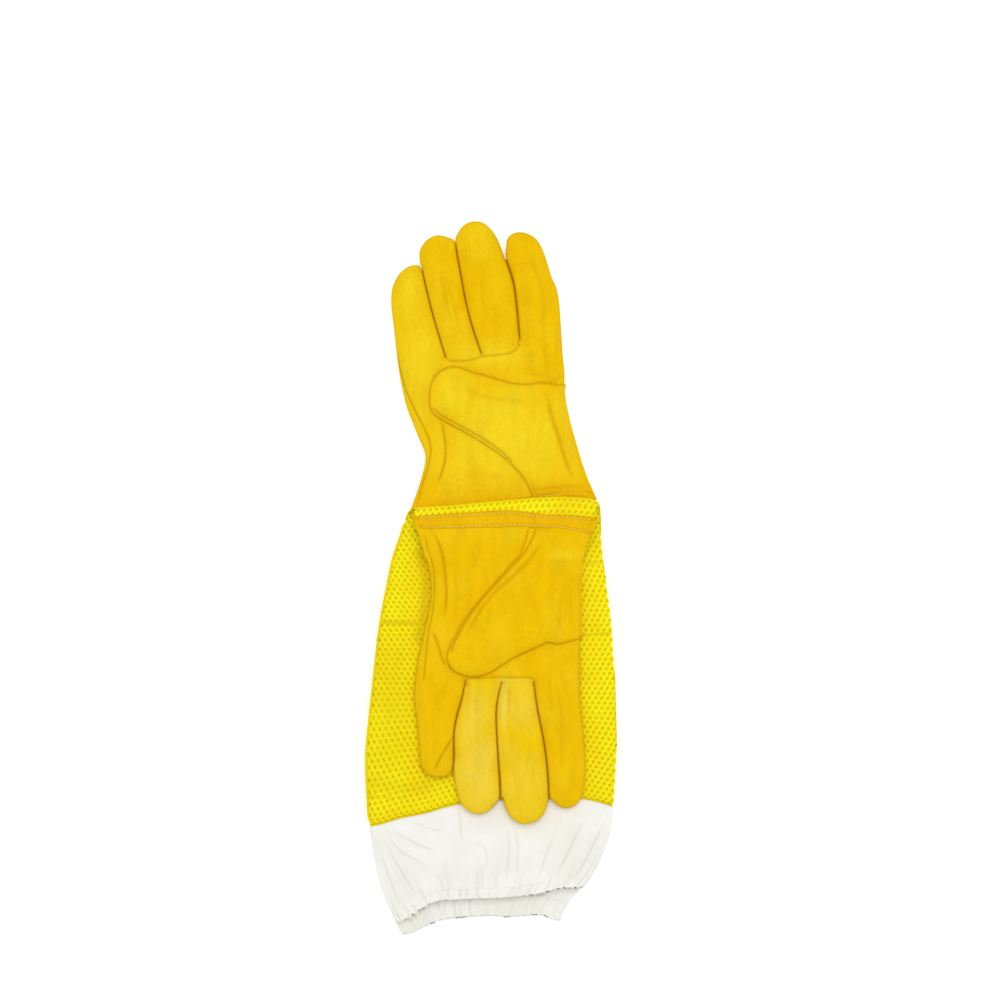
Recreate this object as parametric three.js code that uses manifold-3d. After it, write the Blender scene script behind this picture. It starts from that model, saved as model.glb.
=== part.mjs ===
// A pair of beekeeping gloves, in millimetres, +Z up, lying palms up as they are stored.
//
// The right glove lies flat, fingers towards +Y and cuff towards -Y. The left glove lies on it with
// the two sleeves together, and its sleeve is folded back across the wrist, so its hand lies on the
// sleeves with the fingers towards -Y. Both thumbs are folded across the palms from the +X side.
import * as THREE from 'three';
import { mergeVertices } from 'three/addons/utils/BufferGeometryUtils.js';
import Module from 'manifold-3d';

const wasm = await Module();
wasm.setup();

// ---- driving dimensions -------------------------------------------------------------------------
const GAP = 0.3; // between pieces that touch
const SLIT = 1; // between neighbouring fingers
const FAR = 400; // further than the gloves reach
const ROOT = 20; // how far a finger's outline runs on past the knuckle, to be cut off there

const LEATHER = 1.5; // wall of the hand
const MESH = 1.8; // wall of the ventilated sleeve
const COTTON = 1.2; // wall of the cuff
const HEM_CLOTH = 0.6; // each layer of the hem that holds the elastic
const ELASTIC = 0.8;

const HAND_HEIGHT = 11.5; // a flattened hand, over both walls
const SLEEVE_HEIGHT = 8.5; // a flattened sleeve or cuff
const HEM_HEIGHT = 11.5; // the gathered hem stands a little fuller
const THUMB_HEIGHT = 9; // at the tip
const THUMB_THIN = 0.3; // share of that height left at the wrist end

const RIGHT_Z = 0;
const LEFT_SLEEVE_Z = RIGHT_Z + SLEEVE_HEIGHT + GAP;
const LEFT_HAND_Z = LEFT_SLEEVE_Z + SLEEVE_HEIGHT + GAP;

const EDGE_SHARE = 0.45; // rounded part of a flattened edge, as a share of the height
const FOLDED_SLEEVE = 4; // two mesh walls pressed together at the fold

const RIGHT_KNUCKLE_Y = 158; // where the fingers of each hand bend
const LEFT_KNUCKLE_Y = -73;
const BAND_WIDTH = 12; // leather hem band between hand and sleeve
const HEM_WIDTH = 11; // channel of the elastic

const CENTRE = new THREE.Vector3(0.7, -0.43, 0); // middle of the pair in the drawing's frame

// Straight lines across the gloves, as y = at + slope * x.
const RIGHT_BAND_TOP = { at: 56, slope: 0 };
const RIGHT_BAND_LOW = { at: 56 - BAND_WIDTH, slope: 0 };
const CUFF_SEAM = { at: -168, slope: 0.07 };
const RIGHT_HEM = { at: -250, slope: 0.105 };
const LEFT_HEM = { at: -234, slope: 0.168 };
const RIDGE = { at: 54.1, slope: 0.045 };

const FOLD_RADIUS = (LEFT_HAND_Z + HAND_HEIGHT - LEFT_SLEEVE_Z) / 2;
const FOLD_Z = LEFT_SLEEVE_Z + FOLD_RADIUS;
const FOLD_LINE = { at: RIDGE.at - FOLD_RADIUS, slope: RIDGE.slope };
const FOLD_FROM_X = -57;
const FOLD_TO_X = 78;

// ---- outlines, as [x, y] down each side ---------------------------------------------------------
const ARM_LEFT = [
  [-56, 66], [-62.6, 48], [-67.7, 23], [-73.8, -3], [-82.6, -55], [-88.2, -107], [-90, -130],
  [-89.3, -150], [-86.6, -180], [-82.1, -207], [-78, -222], [-68, -246], [-62, -262], [-60, -274],
];
const ARM_RIGHT = [
  [77, 66], [79.4, 48], [80.3, 23], [83.5, -3], [88.9, -55], [91, -107], [91.2, -126],
  [89.7, -150], [87.1, -181], [82.1, -196], [75.6, -210], [68.4, -221], [55, -236], [50, -252],
  [50, -270],
];
const RIGHT_PALM_LEFT = [
  [-68, 170], [-64.8, 150], [-60.5, 128], [-54.7, 110], [-47, 88], [-49.7, 71], [-56.2, 54],
  [-62, 40],
];
const RIGHT_PALM_RIGHT = [
  [52, 170], [53.4, 147], [54, 130], [57, 114], [60.5, 99], [64.1, 85], [69.1, 71], [76, 56],
  [80, 40],
];
const LEFT_PALM_LEFT = [
  [-57, 52], [-54, 40], [-49.7, 24], [-44.6, 11], [-43, -8], [-46, -30], [-52, -58], [-54.5, -86],
];
const LEFT_PALM_RIGHT = [
  [80, 52], [77, 40], [70.6, 27], [66.6, 17], [65, 5], [64.8, -44], [64.8, -86],
];

// A finger's middle line from the knuckle to the centre of its round tip, as [x, y, half width].
const RIGHT_FINGERS = {
  little: [[-49.6, 158, 17.2], [-56.9, 193, 13.7], [-59.4, 213.1, 11.5]],
  ring: [[-19.3, 158, 12.9], [-30.8, 200.2, 12.9], [-37.8, 234.4, 12.9]],
  middle: [[7, 158, 13.5], [-0.3, 200.2, 16.9], [-8.6, 242.3, 14.4]],
  index: [[36.7, 158, 15.8], [34.2, 200.2, 15.3], [23.8, 236.9, 12.2]],
};
const LEFT_FINGERS = {
  little: [[-36.4, -73, 18], [-39.2, -113, 12.4], [-38.4, -131, 11.9]],
  ring: [[-5.4, -73, 12.6], [-10.3, -116.6, 15.1], [-9, -153.7, 15.6]],
  middle: [[20.3, -73, 12.6], [22.7, -120.2, 16.4], [25.7, -160.2, 16.4]],
  index: [[48.8, -73, 15.6], [54.1, -120.2, 14], [55.8, -153, 12.4]],
};

// A folded thumb, from the top of its root over the tip and back to the wrist, and the ends of the
// line along the side of the palm that it turns about.
const RIGHT_THUMB = {
  outline: [
    [70, 139], [56, 139.5], [39.6, 141], [20.2, 141], [3.6, 144.7], [-13, 150], [-26.6, 152.3],
    [-37.5, 148], [-43.3, 137], [-43.4, 126], [-40.3, 118], [-21.6, 106.6], [-7.2, 98.6],
    [7.2, 88.6], [18, 79.2], [25.2, 70.6], [29, 62], [90, 62],
  ],
  hinge: [[54.8, 142], [75.4, 60]],
  tipY: 152,
  wristY: 60,
};
const LEFT_THUMB = {
  outline: [
    [80, -43.9], [60, -44.5], [48, -47.5], [39, -48.5], [22, -56.2], [7, -64], [-7, -70.2],
    [-17, -70.6], [-26, -66.5], [-31, -57], [-28.5, -46], [-19.4, -28], [-7.2, -14.4], [7.2, 1.4],
    [19, 14.5], [24, 26], [26, 34], [54, 34], [61.5, 26], [70, 10], [80, -8],
  ],
  hinge: [[65.4, 36], [65.4, -46]],
  tipY: -71,
  wristY: 36,
};
const THUMB_HOLE_LENGTH = 38; // opening of the palm into the thumb, along the hinge
const THUMB_HOLE_WIDTH = 14;
const THUMB_HOLE_INSET = 15; // from the hinge to the middle of the opening

// ---- materials ----------------------------------------------------------------------------------
const finish = (color, roughness) => new THREE.MeshStandardMaterial({ color, roughness, metalness: 0 });
const GOLD_LEATHER = finish(0xeec309, 0.72);
const PALE_SUEDE = finish(0xefd02a, 0.85);
const BAND_LEATHER = finish(0xebb10c, 0.75);
const YELLOW_MESH = finish(0xf7e418, 0.9);
const WHITE_COTTON = finish(0xf3f3e8, 0.95);
const WHITE_RUBBER = finish(0xe8e6dc, 0.8);

// ---- geometry helpers ---------------------------------------------------------------------------
const vector = ([x, y]) => new THREE.Vector2(x, y);
const yAt = (line, x) => line.at + line.slope * x;
const moved = (line, distance) => ({ at: line.at + distance, slope: line.slope });

function smooth(points, count) {
  return new THREE.SplineCurve(points.map(vector)).getPoints(count);
}

function solid(geometry) {
  geometry.deleteAttribute('normal');
  geometry.deleteAttribute('uv');
  const merged = mergeVertices(geometry, 1e-4);
  return new wasm.Manifold(new wasm.Mesh({
    numProp: 3,
    vertProperties: merged.attributes.position.array,
    triVerts: Uint32Array.from(merged.index.array),
  }));
}

// A plain prism over a polygon.
function prism(points, low, high) {
  const shape = new THREE.Shape(points.map(vector));
  const geometry = new THREE.ExtrudeGeometry(shape, { depth: high - low, bevelEnabled: false });
  geometry.translate(0, 0, low);
  return solid(geometry);
}

// Everything between two lines across the gloves.
function between(upper, lower) {
  return prism(
    [[-FAR, yAt(lower, -FAR)], [FAR, yAt(lower, FAR)], [FAR, yAt(upper, FAR)], [-FAR, yAt(upper, -FAR)]],
    -FAR,
    FAR,
  );
}

function slab(low, high) {
  return prism([[-FAR, -FAR], [FAR, -FAR], [FAR, FAR], [-FAR, FAR]], low, high);
}

// A flattened cushion over an outline, with rounded edges, shrunk by inset on every side.
function pillow(outline, z, height, inset) {
  const round = height * EDGE_SHARE;
  const geometry = new THREE.ExtrudeGeometry(new THREE.Shape(outline), {
    depth: height - 2 * round,
    bevelThickness: round - inset,
    bevelSize: round - inset,
    bevelOffset: -round,
    bevelSegments: 2,
  });
  geometry.translate(0, 0, z + round);
  return solid(geometry);
}

function shell(outline, z, height, wall) {
  return pillow(outline, z, height, 0).subtract(pillow(outline, z, height, wall));
}

// The upper and lower halves of a shell, which meet along the seam round its edge.
function halves(whole, z, height) {
  const seam = z + height / 2;
  return {
    front: whole.intersect(slab(seam + GAP / 2, FAR)),
    back: whole.intersect(slab(-FAR, seam - GAP / 2)),
  };
}

// ---- outlines -----------------------------------------------------------------------------------
function sidesOutline(left, right) {
  return [...smooth(left, left.length), ...smooth(right, right.length).reverse()];
}

function fingerOutline(stations) {
  const [tipX, tipY, tipRadius] = stations.at(-1);
  const [rootX, rootY, rootHalf] = stations[0];
  const way = Math.sign(tipY - rootY);
  const line = [[rootX, rootY - way * ROOT, rootHalf], ...stations];
  const left = smooth(line.map(([x, y, half]) => [x - half + SLIT / 2, y]), 5);
  const right = smooth(line.map(([x, y, half]) => [x + half - SLIT / 2, y]), 5);
  const radius = tipRadius - SLIT / 2;
  const start = way > 0 ? Math.PI : -Math.PI;
  const tip = new THREE.EllipseCurve(tipX, tipY, radius, radius, start, 0, way > 0).getPoints(7);
  return [...left.slice(0, -1), ...tip, ...right.slice(0, -1).reverse()];
}

// ---- pieces -------------------------------------------------------------------------------------
const gloves = new THREE.Group();
gloves.position.copy(CENTRE).negate();

function add(name, body, material) {
  const { vertProperties, triVerts } = body.getMesh();
  const geometry = new THREE.BufferGeometry();
  geometry.setAttribute('position', new THREE.BufferAttribute(vertProperties, 3));
  geometry.setIndex(new THREE.BufferAttribute(triVerts, 1));
  geometry.computeVertexNormals();
  const mesh = new THREE.Mesh(geometry, material);
  mesh.name = name;
  gloves.add(mesh);
  return mesh;
}

function addFingers(side, fingers, z, knuckleY, suede) {
  const way = Math.sign(fingers.middle.at(-1)[1] - knuckleY);
  const far = { at: way * FAR, slope: 0 };
  const near = { at: knuckleY + way * GAP / 2, slope: 0 };
  const room = way > 0 ? between(far, near) : between(near, far);
  for (const [finger, stations] of Object.entries(fingers)) {
    const whole = shell(fingerOutline(stations), z, HAND_HEIGHT, LEATHER).intersect(room);
    const { front, back } = halves(whole, z, HAND_HEIGHT);
    const separateFront = finger === 'ring' || finger === 'middle';
    add(`${side}_${finger}_front`, front, separateFront ? suede : GOLD_LEATHER);
    add(`${side}_${finger}_back`, back, GOLD_LEATHER);
  }
}

// The oval opening between palm and thumb, just inside the thumb's hinge.
function thumbHole(thumb) {
  const [a, b] = thumb.hinge.map(vector);
  const along = b.clone().sub(a).normalize();
  const inward = new THREE.Vector2(along.y, -along.x);
  if (inward.x > 0) inward.negate();
  const middle = a.clone().add(b).multiplyScalar(0.5).addScaledVector(inward, THUMB_HOLE_INSET);
  const oval = new THREE.EllipseCurve(
    middle.x, middle.y, THUMB_HOLE_LENGTH / 2, THUMB_HOLE_WIDTH / 2, 0, 2 * Math.PI, false, along.angle(),
  ).getPoints(16).slice(0, -1);
  return prism(oval.map(({ x, y }) => [x, y]), -FAR, FAR);
}

function addPalm(side, outline, z, room, thumb) {
  const whole = shell(outline, z, HAND_HEIGHT, LEATHER).intersect(room);
  const { front, back } = halves(whole, z, HAND_HEIGHT);
  add(`${side}_palm_panel`, front.subtract(thumbHole(thumb)), GOLD_LEATHER);
  add(`${side}_back_panel`, back, GOLD_LEATHER);
}

// The thumb is full at the tip and flat at the wrist, where its seam runs out on the palm.
function addThumb(side, thumb, z) {
  const [[ax, ay], [bx, by]] = thumb.hinge;
  const reach = (FAR / Math.hypot(bx - ax, by - ay));
  const [dx, dy] = [(bx - ax) * reach, (by - ay) * reach];
  const inside = prism(
    [[ax - dx - GAP, ay - dy], [-FAR, ay - dy], [-FAR, by + dy], [bx + dx - GAP, by + dy]], -FAR, FAR,
  );
  const whole = shell(smooth(thumb.outline, 2 * thumb.outline.length), 0, THUMB_HEIGHT, LEATHER);
  const { front, back } = halves(whole.intersect(inside), 0, THUMB_HEIGHT);
  const pieces = { front, back: back.subtract(thumbHole(thumb)) };
  for (const [name, piece] of Object.entries(pieces)) {
    const mesh = add(`${side}_thumb_${name}`, piece, GOLD_LEATHER);
    const points = mesh.geometry.attributes.position;
    for (let i = 0; i < points.count; i += 1) {
      const towardsTip = (points.getY(i) - thumb.wristY) / (thumb.tipY - thumb.wristY);
      points.setZ(i, points.getZ(i) * THREE.MathUtils.lerp(THUMB_THIN, 1, towardsTip));
    }
    mesh.position.z = z;
  }
}

// The cotton hem is turned in and up again round the elastic, and its channel is open at the top.
function addCuff(side, arm, z, hem) {
  const channelTop = moved(hem, HEM_WIDTH);
  const cuff = shell(arm, z, SLEEVE_HEIGHT, COTTON)
    .intersect(between(moved(CUFF_SEAM, -GAP / 2), moved(channelTop, GAP)));
  add(`${side}_canvas_cuff`, cuff, WHITE_COTTON);

  const layer = (inset) => pillow(arm, z, HEM_HEIGHT, inset);
  const inner = HEM_CLOTH + GAP + ELASTIC + GAP;
  const channel = layer(HEM_CLOTH).subtract(layer(inner));
  const casing = layer(0).subtract(layer(inner + HEM_CLOTH)).intersect(between(channelTop, hem))
    .subtract(channel.intersect(between(moved(channelTop, 1), moved(hem, HEM_CLOTH))));
  add(`${side}_hem_casing`, casing, WHITE_COTTON);

  const elastic = layer(HEM_CLOTH + GAP).subtract(layer(HEM_CLOTH + GAP + ELASTIC))
    .intersect(between(moved(channelTop, -GAP), moved(hem, HEM_CLOTH + GAP)));
  add(`${side}_cuff_elastic`, elastic, WHITE_RUBBER);
}

function addSleeve(side, arm, z, top) {
  const sleeve = shell(arm, z, SLEEVE_HEIGHT, MESH);
  add(`${side}_mesh_sleeve`, sleeve.intersect(between(top, moved(CUFF_SEAM, GAP / 2))), YELLOW_MESH);
}

// The two walls of the left sleeve pressed together and bent back over themselves.
function addFold() {
  const bend = new THREE.Shape();
  bend.absarc(0, 0, FOLD_RADIUS, -Math.PI / 2, Math.PI / 2, false);
  bend.absarc(0, 0, FOLD_RADIUS - FOLDED_SLEEVE, Math.PI / 2, -Math.PI / 2, true);
  const slant = Math.atan(FOLD_LINE.slope);
  const geometry = new THREE.ExtrudeGeometry(bend, {
    depth: (FOLD_TO_X - FOLD_FROM_X) / Math.cos(slant),
    bevelEnabled: false,
    curveSegments: 10,
  });
  const across = new THREE.Vector3(Math.cos(slant), Math.sin(slant), 0);
  const outward = new THREE.Vector3(-Math.sin(slant), Math.cos(slant), 0);
  const up = new THREE.Vector3(0, 0, 1);
  geometry.applyMatrix4(new THREE.Matrix4().makeBasis(outward, up, across));
  geometry.translate(FOLD_FROM_X, yAt(FOLD_LINE, FOLD_FROM_X), FOLD_Z);
  add('left_sleeve_fold', solid(geometry), YELLOW_MESH);
}

function addBand(side, outline, z, height, top, low) {
  const band = shell(outline, z, height, LEATHER).intersect(between(top, low));
  add(`${side}_hem_band`, band, BAND_LEATHER);
}

// ---- assembly -----------------------------------------------------------------------------------
const arm = sidesOutline(ARM_LEFT, ARM_RIGHT);

const rightPalm = sidesOutline(RIGHT_PALM_LEFT, RIGHT_PALM_RIGHT);
const rightKnuckle = { at: RIGHT_KNUCKLE_Y - GAP / 2, slope: 0 };
addPalm('right', rightPalm, RIGHT_Z, between(rightKnuckle, moved(RIGHT_BAND_TOP, GAP / 2)), RIGHT_THUMB);
addFingers('right', RIGHT_FINGERS, RIGHT_Z, RIGHT_KNUCKLE_Y, GOLD_LEATHER);
addThumb('right', RIGHT_THUMB, RIGHT_Z + HAND_HEIGHT + GAP);
addBand('right', rightPalm, RIGHT_Z, SLEEVE_HEIGHT, moved(RIGHT_BAND_TOP, -GAP / 2), RIGHT_BAND_LOW);
addSleeve('right', arm, RIGHT_Z, moved(RIGHT_BAND_LOW, -GAP));
addCuff('right', arm, RIGHT_Z, RIGHT_HEM);

const leftPalm = sidesOutline(LEFT_PALM_LEFT, LEFT_PALM_RIGHT);
const leftKnuckle = { at: LEFT_KNUCKLE_Y + GAP / 2, slope: 0 };
const leftBandLow = moved(FOLD_LINE, -GAP - BAND_WIDTH);
addSleeve('left', arm, LEFT_SLEEVE_Z, moved(FOLD_LINE, -GAP));
addCuff('left', arm, LEFT_SLEEVE_Z, LEFT_HEM);
addFold();
addBand('left', leftPalm, LEFT_HAND_Z, HAND_HEIGHT, moved(FOLD_LINE, -GAP), leftBandLow);
addPalm('left', leftPalm, LEFT_HAND_Z, between(moved(leftBandLow, -GAP), leftKnuckle), LEFT_THUMB);
addFingers('left', LEFT_FINGERS, LEFT_HAND_Z, LEFT_KNUCKLE_Y, PALE_SUEDE);
addThumb('left', LEFT_THUMB, LEFT_HAND_Z + HAND_HEIGHT + GAP);

export default gloves;
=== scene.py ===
import math

import bpy
import numpy as np
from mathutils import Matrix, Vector, geometry, kdtree


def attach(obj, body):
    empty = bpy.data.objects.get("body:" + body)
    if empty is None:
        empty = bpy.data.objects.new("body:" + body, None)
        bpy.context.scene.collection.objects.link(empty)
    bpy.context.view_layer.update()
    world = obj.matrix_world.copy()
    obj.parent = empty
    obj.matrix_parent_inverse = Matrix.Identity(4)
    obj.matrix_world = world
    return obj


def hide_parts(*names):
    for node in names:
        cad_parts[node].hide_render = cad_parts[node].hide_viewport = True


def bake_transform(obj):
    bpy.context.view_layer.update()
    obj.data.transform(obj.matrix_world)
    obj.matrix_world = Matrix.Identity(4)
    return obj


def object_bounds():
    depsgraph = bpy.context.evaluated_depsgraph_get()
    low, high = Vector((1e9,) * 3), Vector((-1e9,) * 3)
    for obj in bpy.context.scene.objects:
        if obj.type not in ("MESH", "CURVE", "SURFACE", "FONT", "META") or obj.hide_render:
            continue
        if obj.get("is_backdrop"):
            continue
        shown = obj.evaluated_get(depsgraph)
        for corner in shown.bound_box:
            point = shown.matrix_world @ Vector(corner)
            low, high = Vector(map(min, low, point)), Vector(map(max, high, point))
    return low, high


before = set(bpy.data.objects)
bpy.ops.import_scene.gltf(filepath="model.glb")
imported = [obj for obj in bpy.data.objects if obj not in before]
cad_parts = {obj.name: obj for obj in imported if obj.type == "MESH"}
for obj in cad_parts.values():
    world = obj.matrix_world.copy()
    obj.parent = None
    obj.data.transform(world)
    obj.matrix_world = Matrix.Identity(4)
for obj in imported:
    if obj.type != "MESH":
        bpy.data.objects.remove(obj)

# A pair of beekeeping gloves, drawn in millimetres in the same drawing frame as the CAD part and
# moved into the row frame, in metres, when a mesh is made.
CAD_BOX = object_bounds()
CENTRE = np.array([0.7, -0.43, 0.0])
MM = 0.001

# ---- sizes, in millimetres ----------------------------------------------------------------------
# Walls.
LEATHER = 1.2
LINING = 0.8
COTTON = 0.8
THUMB_BACK = 0.8
BAND_WALL = 0.9
GUSSET_WALL = 0.8
HEM_WALL = 2.6
ELASTIC_WALL = 0.6
TAPE_WALL = 0.4

# How high each part is, and where its underside lies.
HAND = 11.5
WRIST_DROP = 3.3
SLEEVE = 8.5
HEM = 10.5
RIGHT_Z = 0.0
LEFT_SLEEVE_Z = 8.8
LEFT_HAND_Z = 17.6

# The fold of the left sleeve.
FOLD_RADIUS = 10.15
FOLD_Z = LEFT_SLEEVE_Z + FOLD_RADIUS
FOLDED = 4.5
FOLD_MIDDLE = FOLD_RADIUS - FOLDED / 2

# How far in from its seams a part reaches its full height.
PALM_ROUND = 9.5
FINGER_ROUND = 12.5
BACK_ROUND = 7.0
BED_ROUND = 9.0

# How full a thumb is, half a gusset's width, how far the seam tape lies off the sleeve, and how deep
# the channels of the two hems are.
THUMB_FULLNESS = 5.8
GUSSET_HALF = 0.95
TAPE_OFF = 0.62
RIGHT_CHANNEL = 14.0
LEFT_CHANNEL = 7.2

# Steps and rows of points along the sleeves, cuffs and hems.
SLEEVE_STEP = 1.5
CUFF_ROWS = 96
HEM_ROWS = 34

# The sleeve's mesh: a cell's width and the step from row to row, a hole's share of its cell and its
# stretch across and along, the crest's share, and how high the cord and its foot lie.
NET_WIDTH, NET_ROW = 4.4, 3.5
NET_HOLE, NET_HOLE_STRETCH = 0.36, (0.72, 1.25)
NET_CREST = 0.76
CORD_TOP, CORD_SHOULDER, CORD_FOOT = 0.5, 0.42, -0.35

random = np.random.default_rng(7)


# ---- curves and distances -----------------------------------------------------------------------
def unit(vectors):
    """Vectors scaled to a length of 1."""
    return vectors / (np.linalg.norm(vectors, axis=-1, keepdims=True) + 1e-12)


def lengths_along(line):
    """How far along a line each of its points is."""
    return np.r_[0, np.cumsum(np.linalg.norm(np.diff(line, axis=0), axis=1))]


def at_length(line, lengths, at):
    """A line's points, or other values kept for each of them, at some lengths along it."""
    return np.stack([np.interp(at, lengths, column) for column in line.T], axis=-1)


def resample(line, step):
    lengths = lengths_along(line)
    count = max(2, int(round(lengths[-1] / step)) + 1)
    return at_length(line, lengths, np.linspace(0, lengths[-1], count))


def closed(ring):
    """A closed outline with its first point once more at its end."""
    return np.vstack([ring, ring[:1]])


def smooth(points, step=1.0):
    """A rounded line through given points."""
    p = np.asarray(points, float)
    q = np.vstack([2 * p[0] - p[1], p, 2 * p[-1] - p[-2]])
    t = np.linspace(0, 1, 16, endpoint=False)[:, None]
    rows = []
    for a, b, c, d in zip(q, q[1:], q[2:], q[3:]):
        rows.append(0.5 * (2 * b + (c - a) * t + (2 * a - 5 * b + 4 * c - d) * t**2
                           + (3 * b - a - 3 * c + d) * t**3))
    return resample(np.vstack(rows + [p[-1:]]), step)


def normals_2d(line, is_ring=False):
    """Unit normals to the left of a line's direction."""
    steps = np.roll(line, -1, 0) - np.roll(line, 1, 0) if is_ring else np.gradient(line, axis=0)
    d = unit(steps)
    return np.column_stack([-d[:, 1], d[:, 0]])


def nearest(points, line):
    """Distance of each point from a line, and how far along the line it is, from 0 to 1."""
    tree = kdtree.KDTree(len(line))
    for i, (x, y) in enumerate(line):
        tree.insert((x, y, 0), i)
    tree.balance()
    closest = np.fromiter((tree.find((x, y, 0))[1] for x, y in points), int, len(points))
    best, place = np.full(len(points), np.inf), np.zeros(len(points))
    for step in (-1, 0):
        k = np.clip(closest + step, 0, len(line) - 2)
        along = line[k + 1] - line[k]
        t = np.clip(((points - line[k]) * along).sum(1) / ((along * along).sum(1) + 1e-12), 0, 1)
        far = np.linalg.norm(points - line[k] - t[:, None] * along, axis=1)
        place = np.where(far < best, (k + t) / (len(line) - 1), place)
        best = np.minimum(best, far)
    return best, place


def distance(points, line):
    return nearest(points, line)[0]


def fading(place, ends=0.22):
    """1 along the middle of a crease, and 0 at both ends."""
    return smoothstep(place / ends) * smoothstep((1 - place) / ends)


def inside(points, ring):
    """Which points a closed outline holds."""
    x0, y0 = ring[:, 0], ring[:, 1]
    x1, y1 = np.roll(x0, -1), np.roll(y0, -1)
    result = np.zeros(len(points), bool)
    for i in range(0, len(points), 4000):
        x, y = points[i:i + 4000, :1], points[i:i + 4000, 1:2]
        crosses = (y0 > y) != (y1 > y)
        at = x0 + (y - y0) * (x1 - x0) / np.where(y1 == y0, 1e-9, y1 - y0)
        result[i:i + 4000] = (crosses & (x < at)).sum(1) % 2 == 1
    return result


def smoothstep(t):
    t = np.clip(t, 0, 1)
    return t * t * (3 - 2 * t)


def bell(t):
    """1 at 0, and nearly 0 from 2 on."""
    return np.exp(-(t**2))


def rounded(d, width):
    """From 0 at a seam to 1 at width from it, as a quarter circle."""
    return np.sqrt(1 - (1 - np.clip(d / width, 0, 1)) ** 2)


def noise(x, y, size, seed):
    """Smooth noise from -1 to 1, with features of about the given size."""
    table = np.random.default_rng(seed).uniform(-1, 1, (64, 64))
    u, v = x / size + 500.0, y / size + 500.0
    i, j = np.floor(u).astype(int), np.floor(v).astype(int)
    fu, fv = smoothstep(u - i), smoothstep(v - j)
    a, b = table[i % 64, j % 64], table[(i + 1) % 64, j % 64]
    c, d = table[i % 64, (j + 1) % 64], table[(i + 1) % 64, (j + 1) % 64]
    return (a * (1 - fu) + b * fu) * (1 - fv) + (c * (1 - fu) + d * fu) * fv


# ---- meshes -------------------------------------------------------------------------------------
# Where the leather is paler than elsewhere: middle, reach and strength of each soft spot. The left
# spot at (52, 17), across the thumb's base, is a painted highlight on a fold. The first word of a
# piece's name says which hand it is on.
PALE_SPOTS = {
    "right": [((10, 100), (44, 36), 0.62), ((-26, 132), (16, 20), 0.6), ((-50, 150), (18, 44), 0.42),
              ((-58, 205), (12, 24), 0.45), ((2, 160), (30, 9), 0.45), ((-8, 240), (12, 12), 0.2)],
    "left": [((-8, -142), (14, 30), 0.45), ((25, -150), (12, 30), 0.12), ((-12, -100), (8, 20), 0.35),
             ((52, 17), (16, 4), 0.35), ((27, -90), (14, 16), 0.2), ((10, -86), (2.5, 18), 0.75)],
}


def paleness(side, x, y):
    total = np.zeros_like(x)
    for (cx, cy), (rx, ry), strength in PALE_SPOTS[side]:
        total = np.maximum(total, strength * np.exp(-((x - cx) / rx) ** 2 - ((y - cy) / ry) ** 2))
    return total


def add_object(name, data):
    item = bpy.data.objects.new(name, data)
    bpy.context.scene.collection.objects.link(item)
    return item


def add_values(mesh, name, values):
    """One number at each vertex, which a material reads."""
    layer = mesh.attributes.new(name, "FLOAT", "POINT")
    layer.data.foreach_set("value", np.asarray(values, np.float32))


def read_all(items, key, kind, size=1):
    """One value or vector of each item of a mesh, as an array."""
    values = np.empty(size * len(items), kind)
    items.foreach_get(key, values)
    return values if size == 1 else values.reshape(-1, size)


def new_piece(name, verts, faces, material, normals=None, crease=None):
    """A smooth mesh object from millimetres. faces is one array, or a list of arrays. Where normals
    are given, the last array is the cut edge of a wall, which is shaded flat."""
    arrays = faces if isinstance(faces, list) else [faces]
    loops = np.concatenate([a.ravel() for a in arrays]).astype(np.int32)
    sizes = np.concatenate([np.full(len(a), a.shape[1]) for a in arrays])
    mesh = bpy.data.meshes.new(name)
    mesh.vertices.add(len(verts))
    mesh.vertices.foreach_set("co", ((verts - CENTRE) * MM).astype(np.float32).ravel())
    mesh.loops.add(len(loops))
    mesh.loops.foreach_set("vertex_index", loops)
    mesh.polygons.add(len(sizes))
    mesh.polygons.foreach_set("loop_start", np.r_[0, np.cumsum(sizes)[:-1]].astype(np.int32))
    mesh.polygons.foreach_set("use_smooth", np.ones(len(sizes), bool))
    if crease is not None:
        add_values(mesh, "crease", crease)
    if "leather" in name:
        add_values(mesh, "pale", paleness(name.split("_")[0], verts[:, 0], verts[:, 1]))
    mesh.update(calc_edges=True)
    mesh.validate()
    if normals is not None:
        edge = len(arrays[-1])
        shading = normals[read_all(mesh.loops, "vertex_index", np.int32)]
        flat = read_all(mesh.polygons, "normal", np.float32, 3)
        shading[-4 * edge:] = np.repeat(flat[-edge:], 4, axis=0)
        mesh.normals_split_custom_set(shading.astype(np.float32).tolist())
    mesh.materials.append(material)
    return add_object(name, mesh)


def declare(piece, stands_for=None, body=None):
    """Hides the part that a piece stands for, and hangs the piece on the body it rides."""
    if stands_for:
        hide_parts(stands_for)
    if body:
        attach(piece, body)
    return piece


def surface_normals(verts, faces):
    """Area-weighted normals at the vertices of a surface of triangles or of quads."""
    corners = [verts[faces[:, k]] for k in range(faces.shape[1])]
    flat = np.cross(corners[2] - corners[0], corners[-1] - corners[1])
    total = np.zeros_like(verts)
    for k in range(faces.shape[1]):
        np.add.at(total, faces[:, k], flat)
    return unit(total)


def rim_edges(faces):
    """Directed edges that only one face has."""
    k = faces.shape[1]
    edges = np.concatenate([np.column_stack([faces[:, i], faces[:, (i + 1) % k]]) for i in range(k)])
    size = int(faces.max()) + 1
    low, high = edges.min(1).astype(np.int64), edges.max(1).astype(np.int64)
    _, index, count = np.unique(low * size + high, return_index=True, return_counts=True)
    return edges[index[count == 1]]


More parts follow.
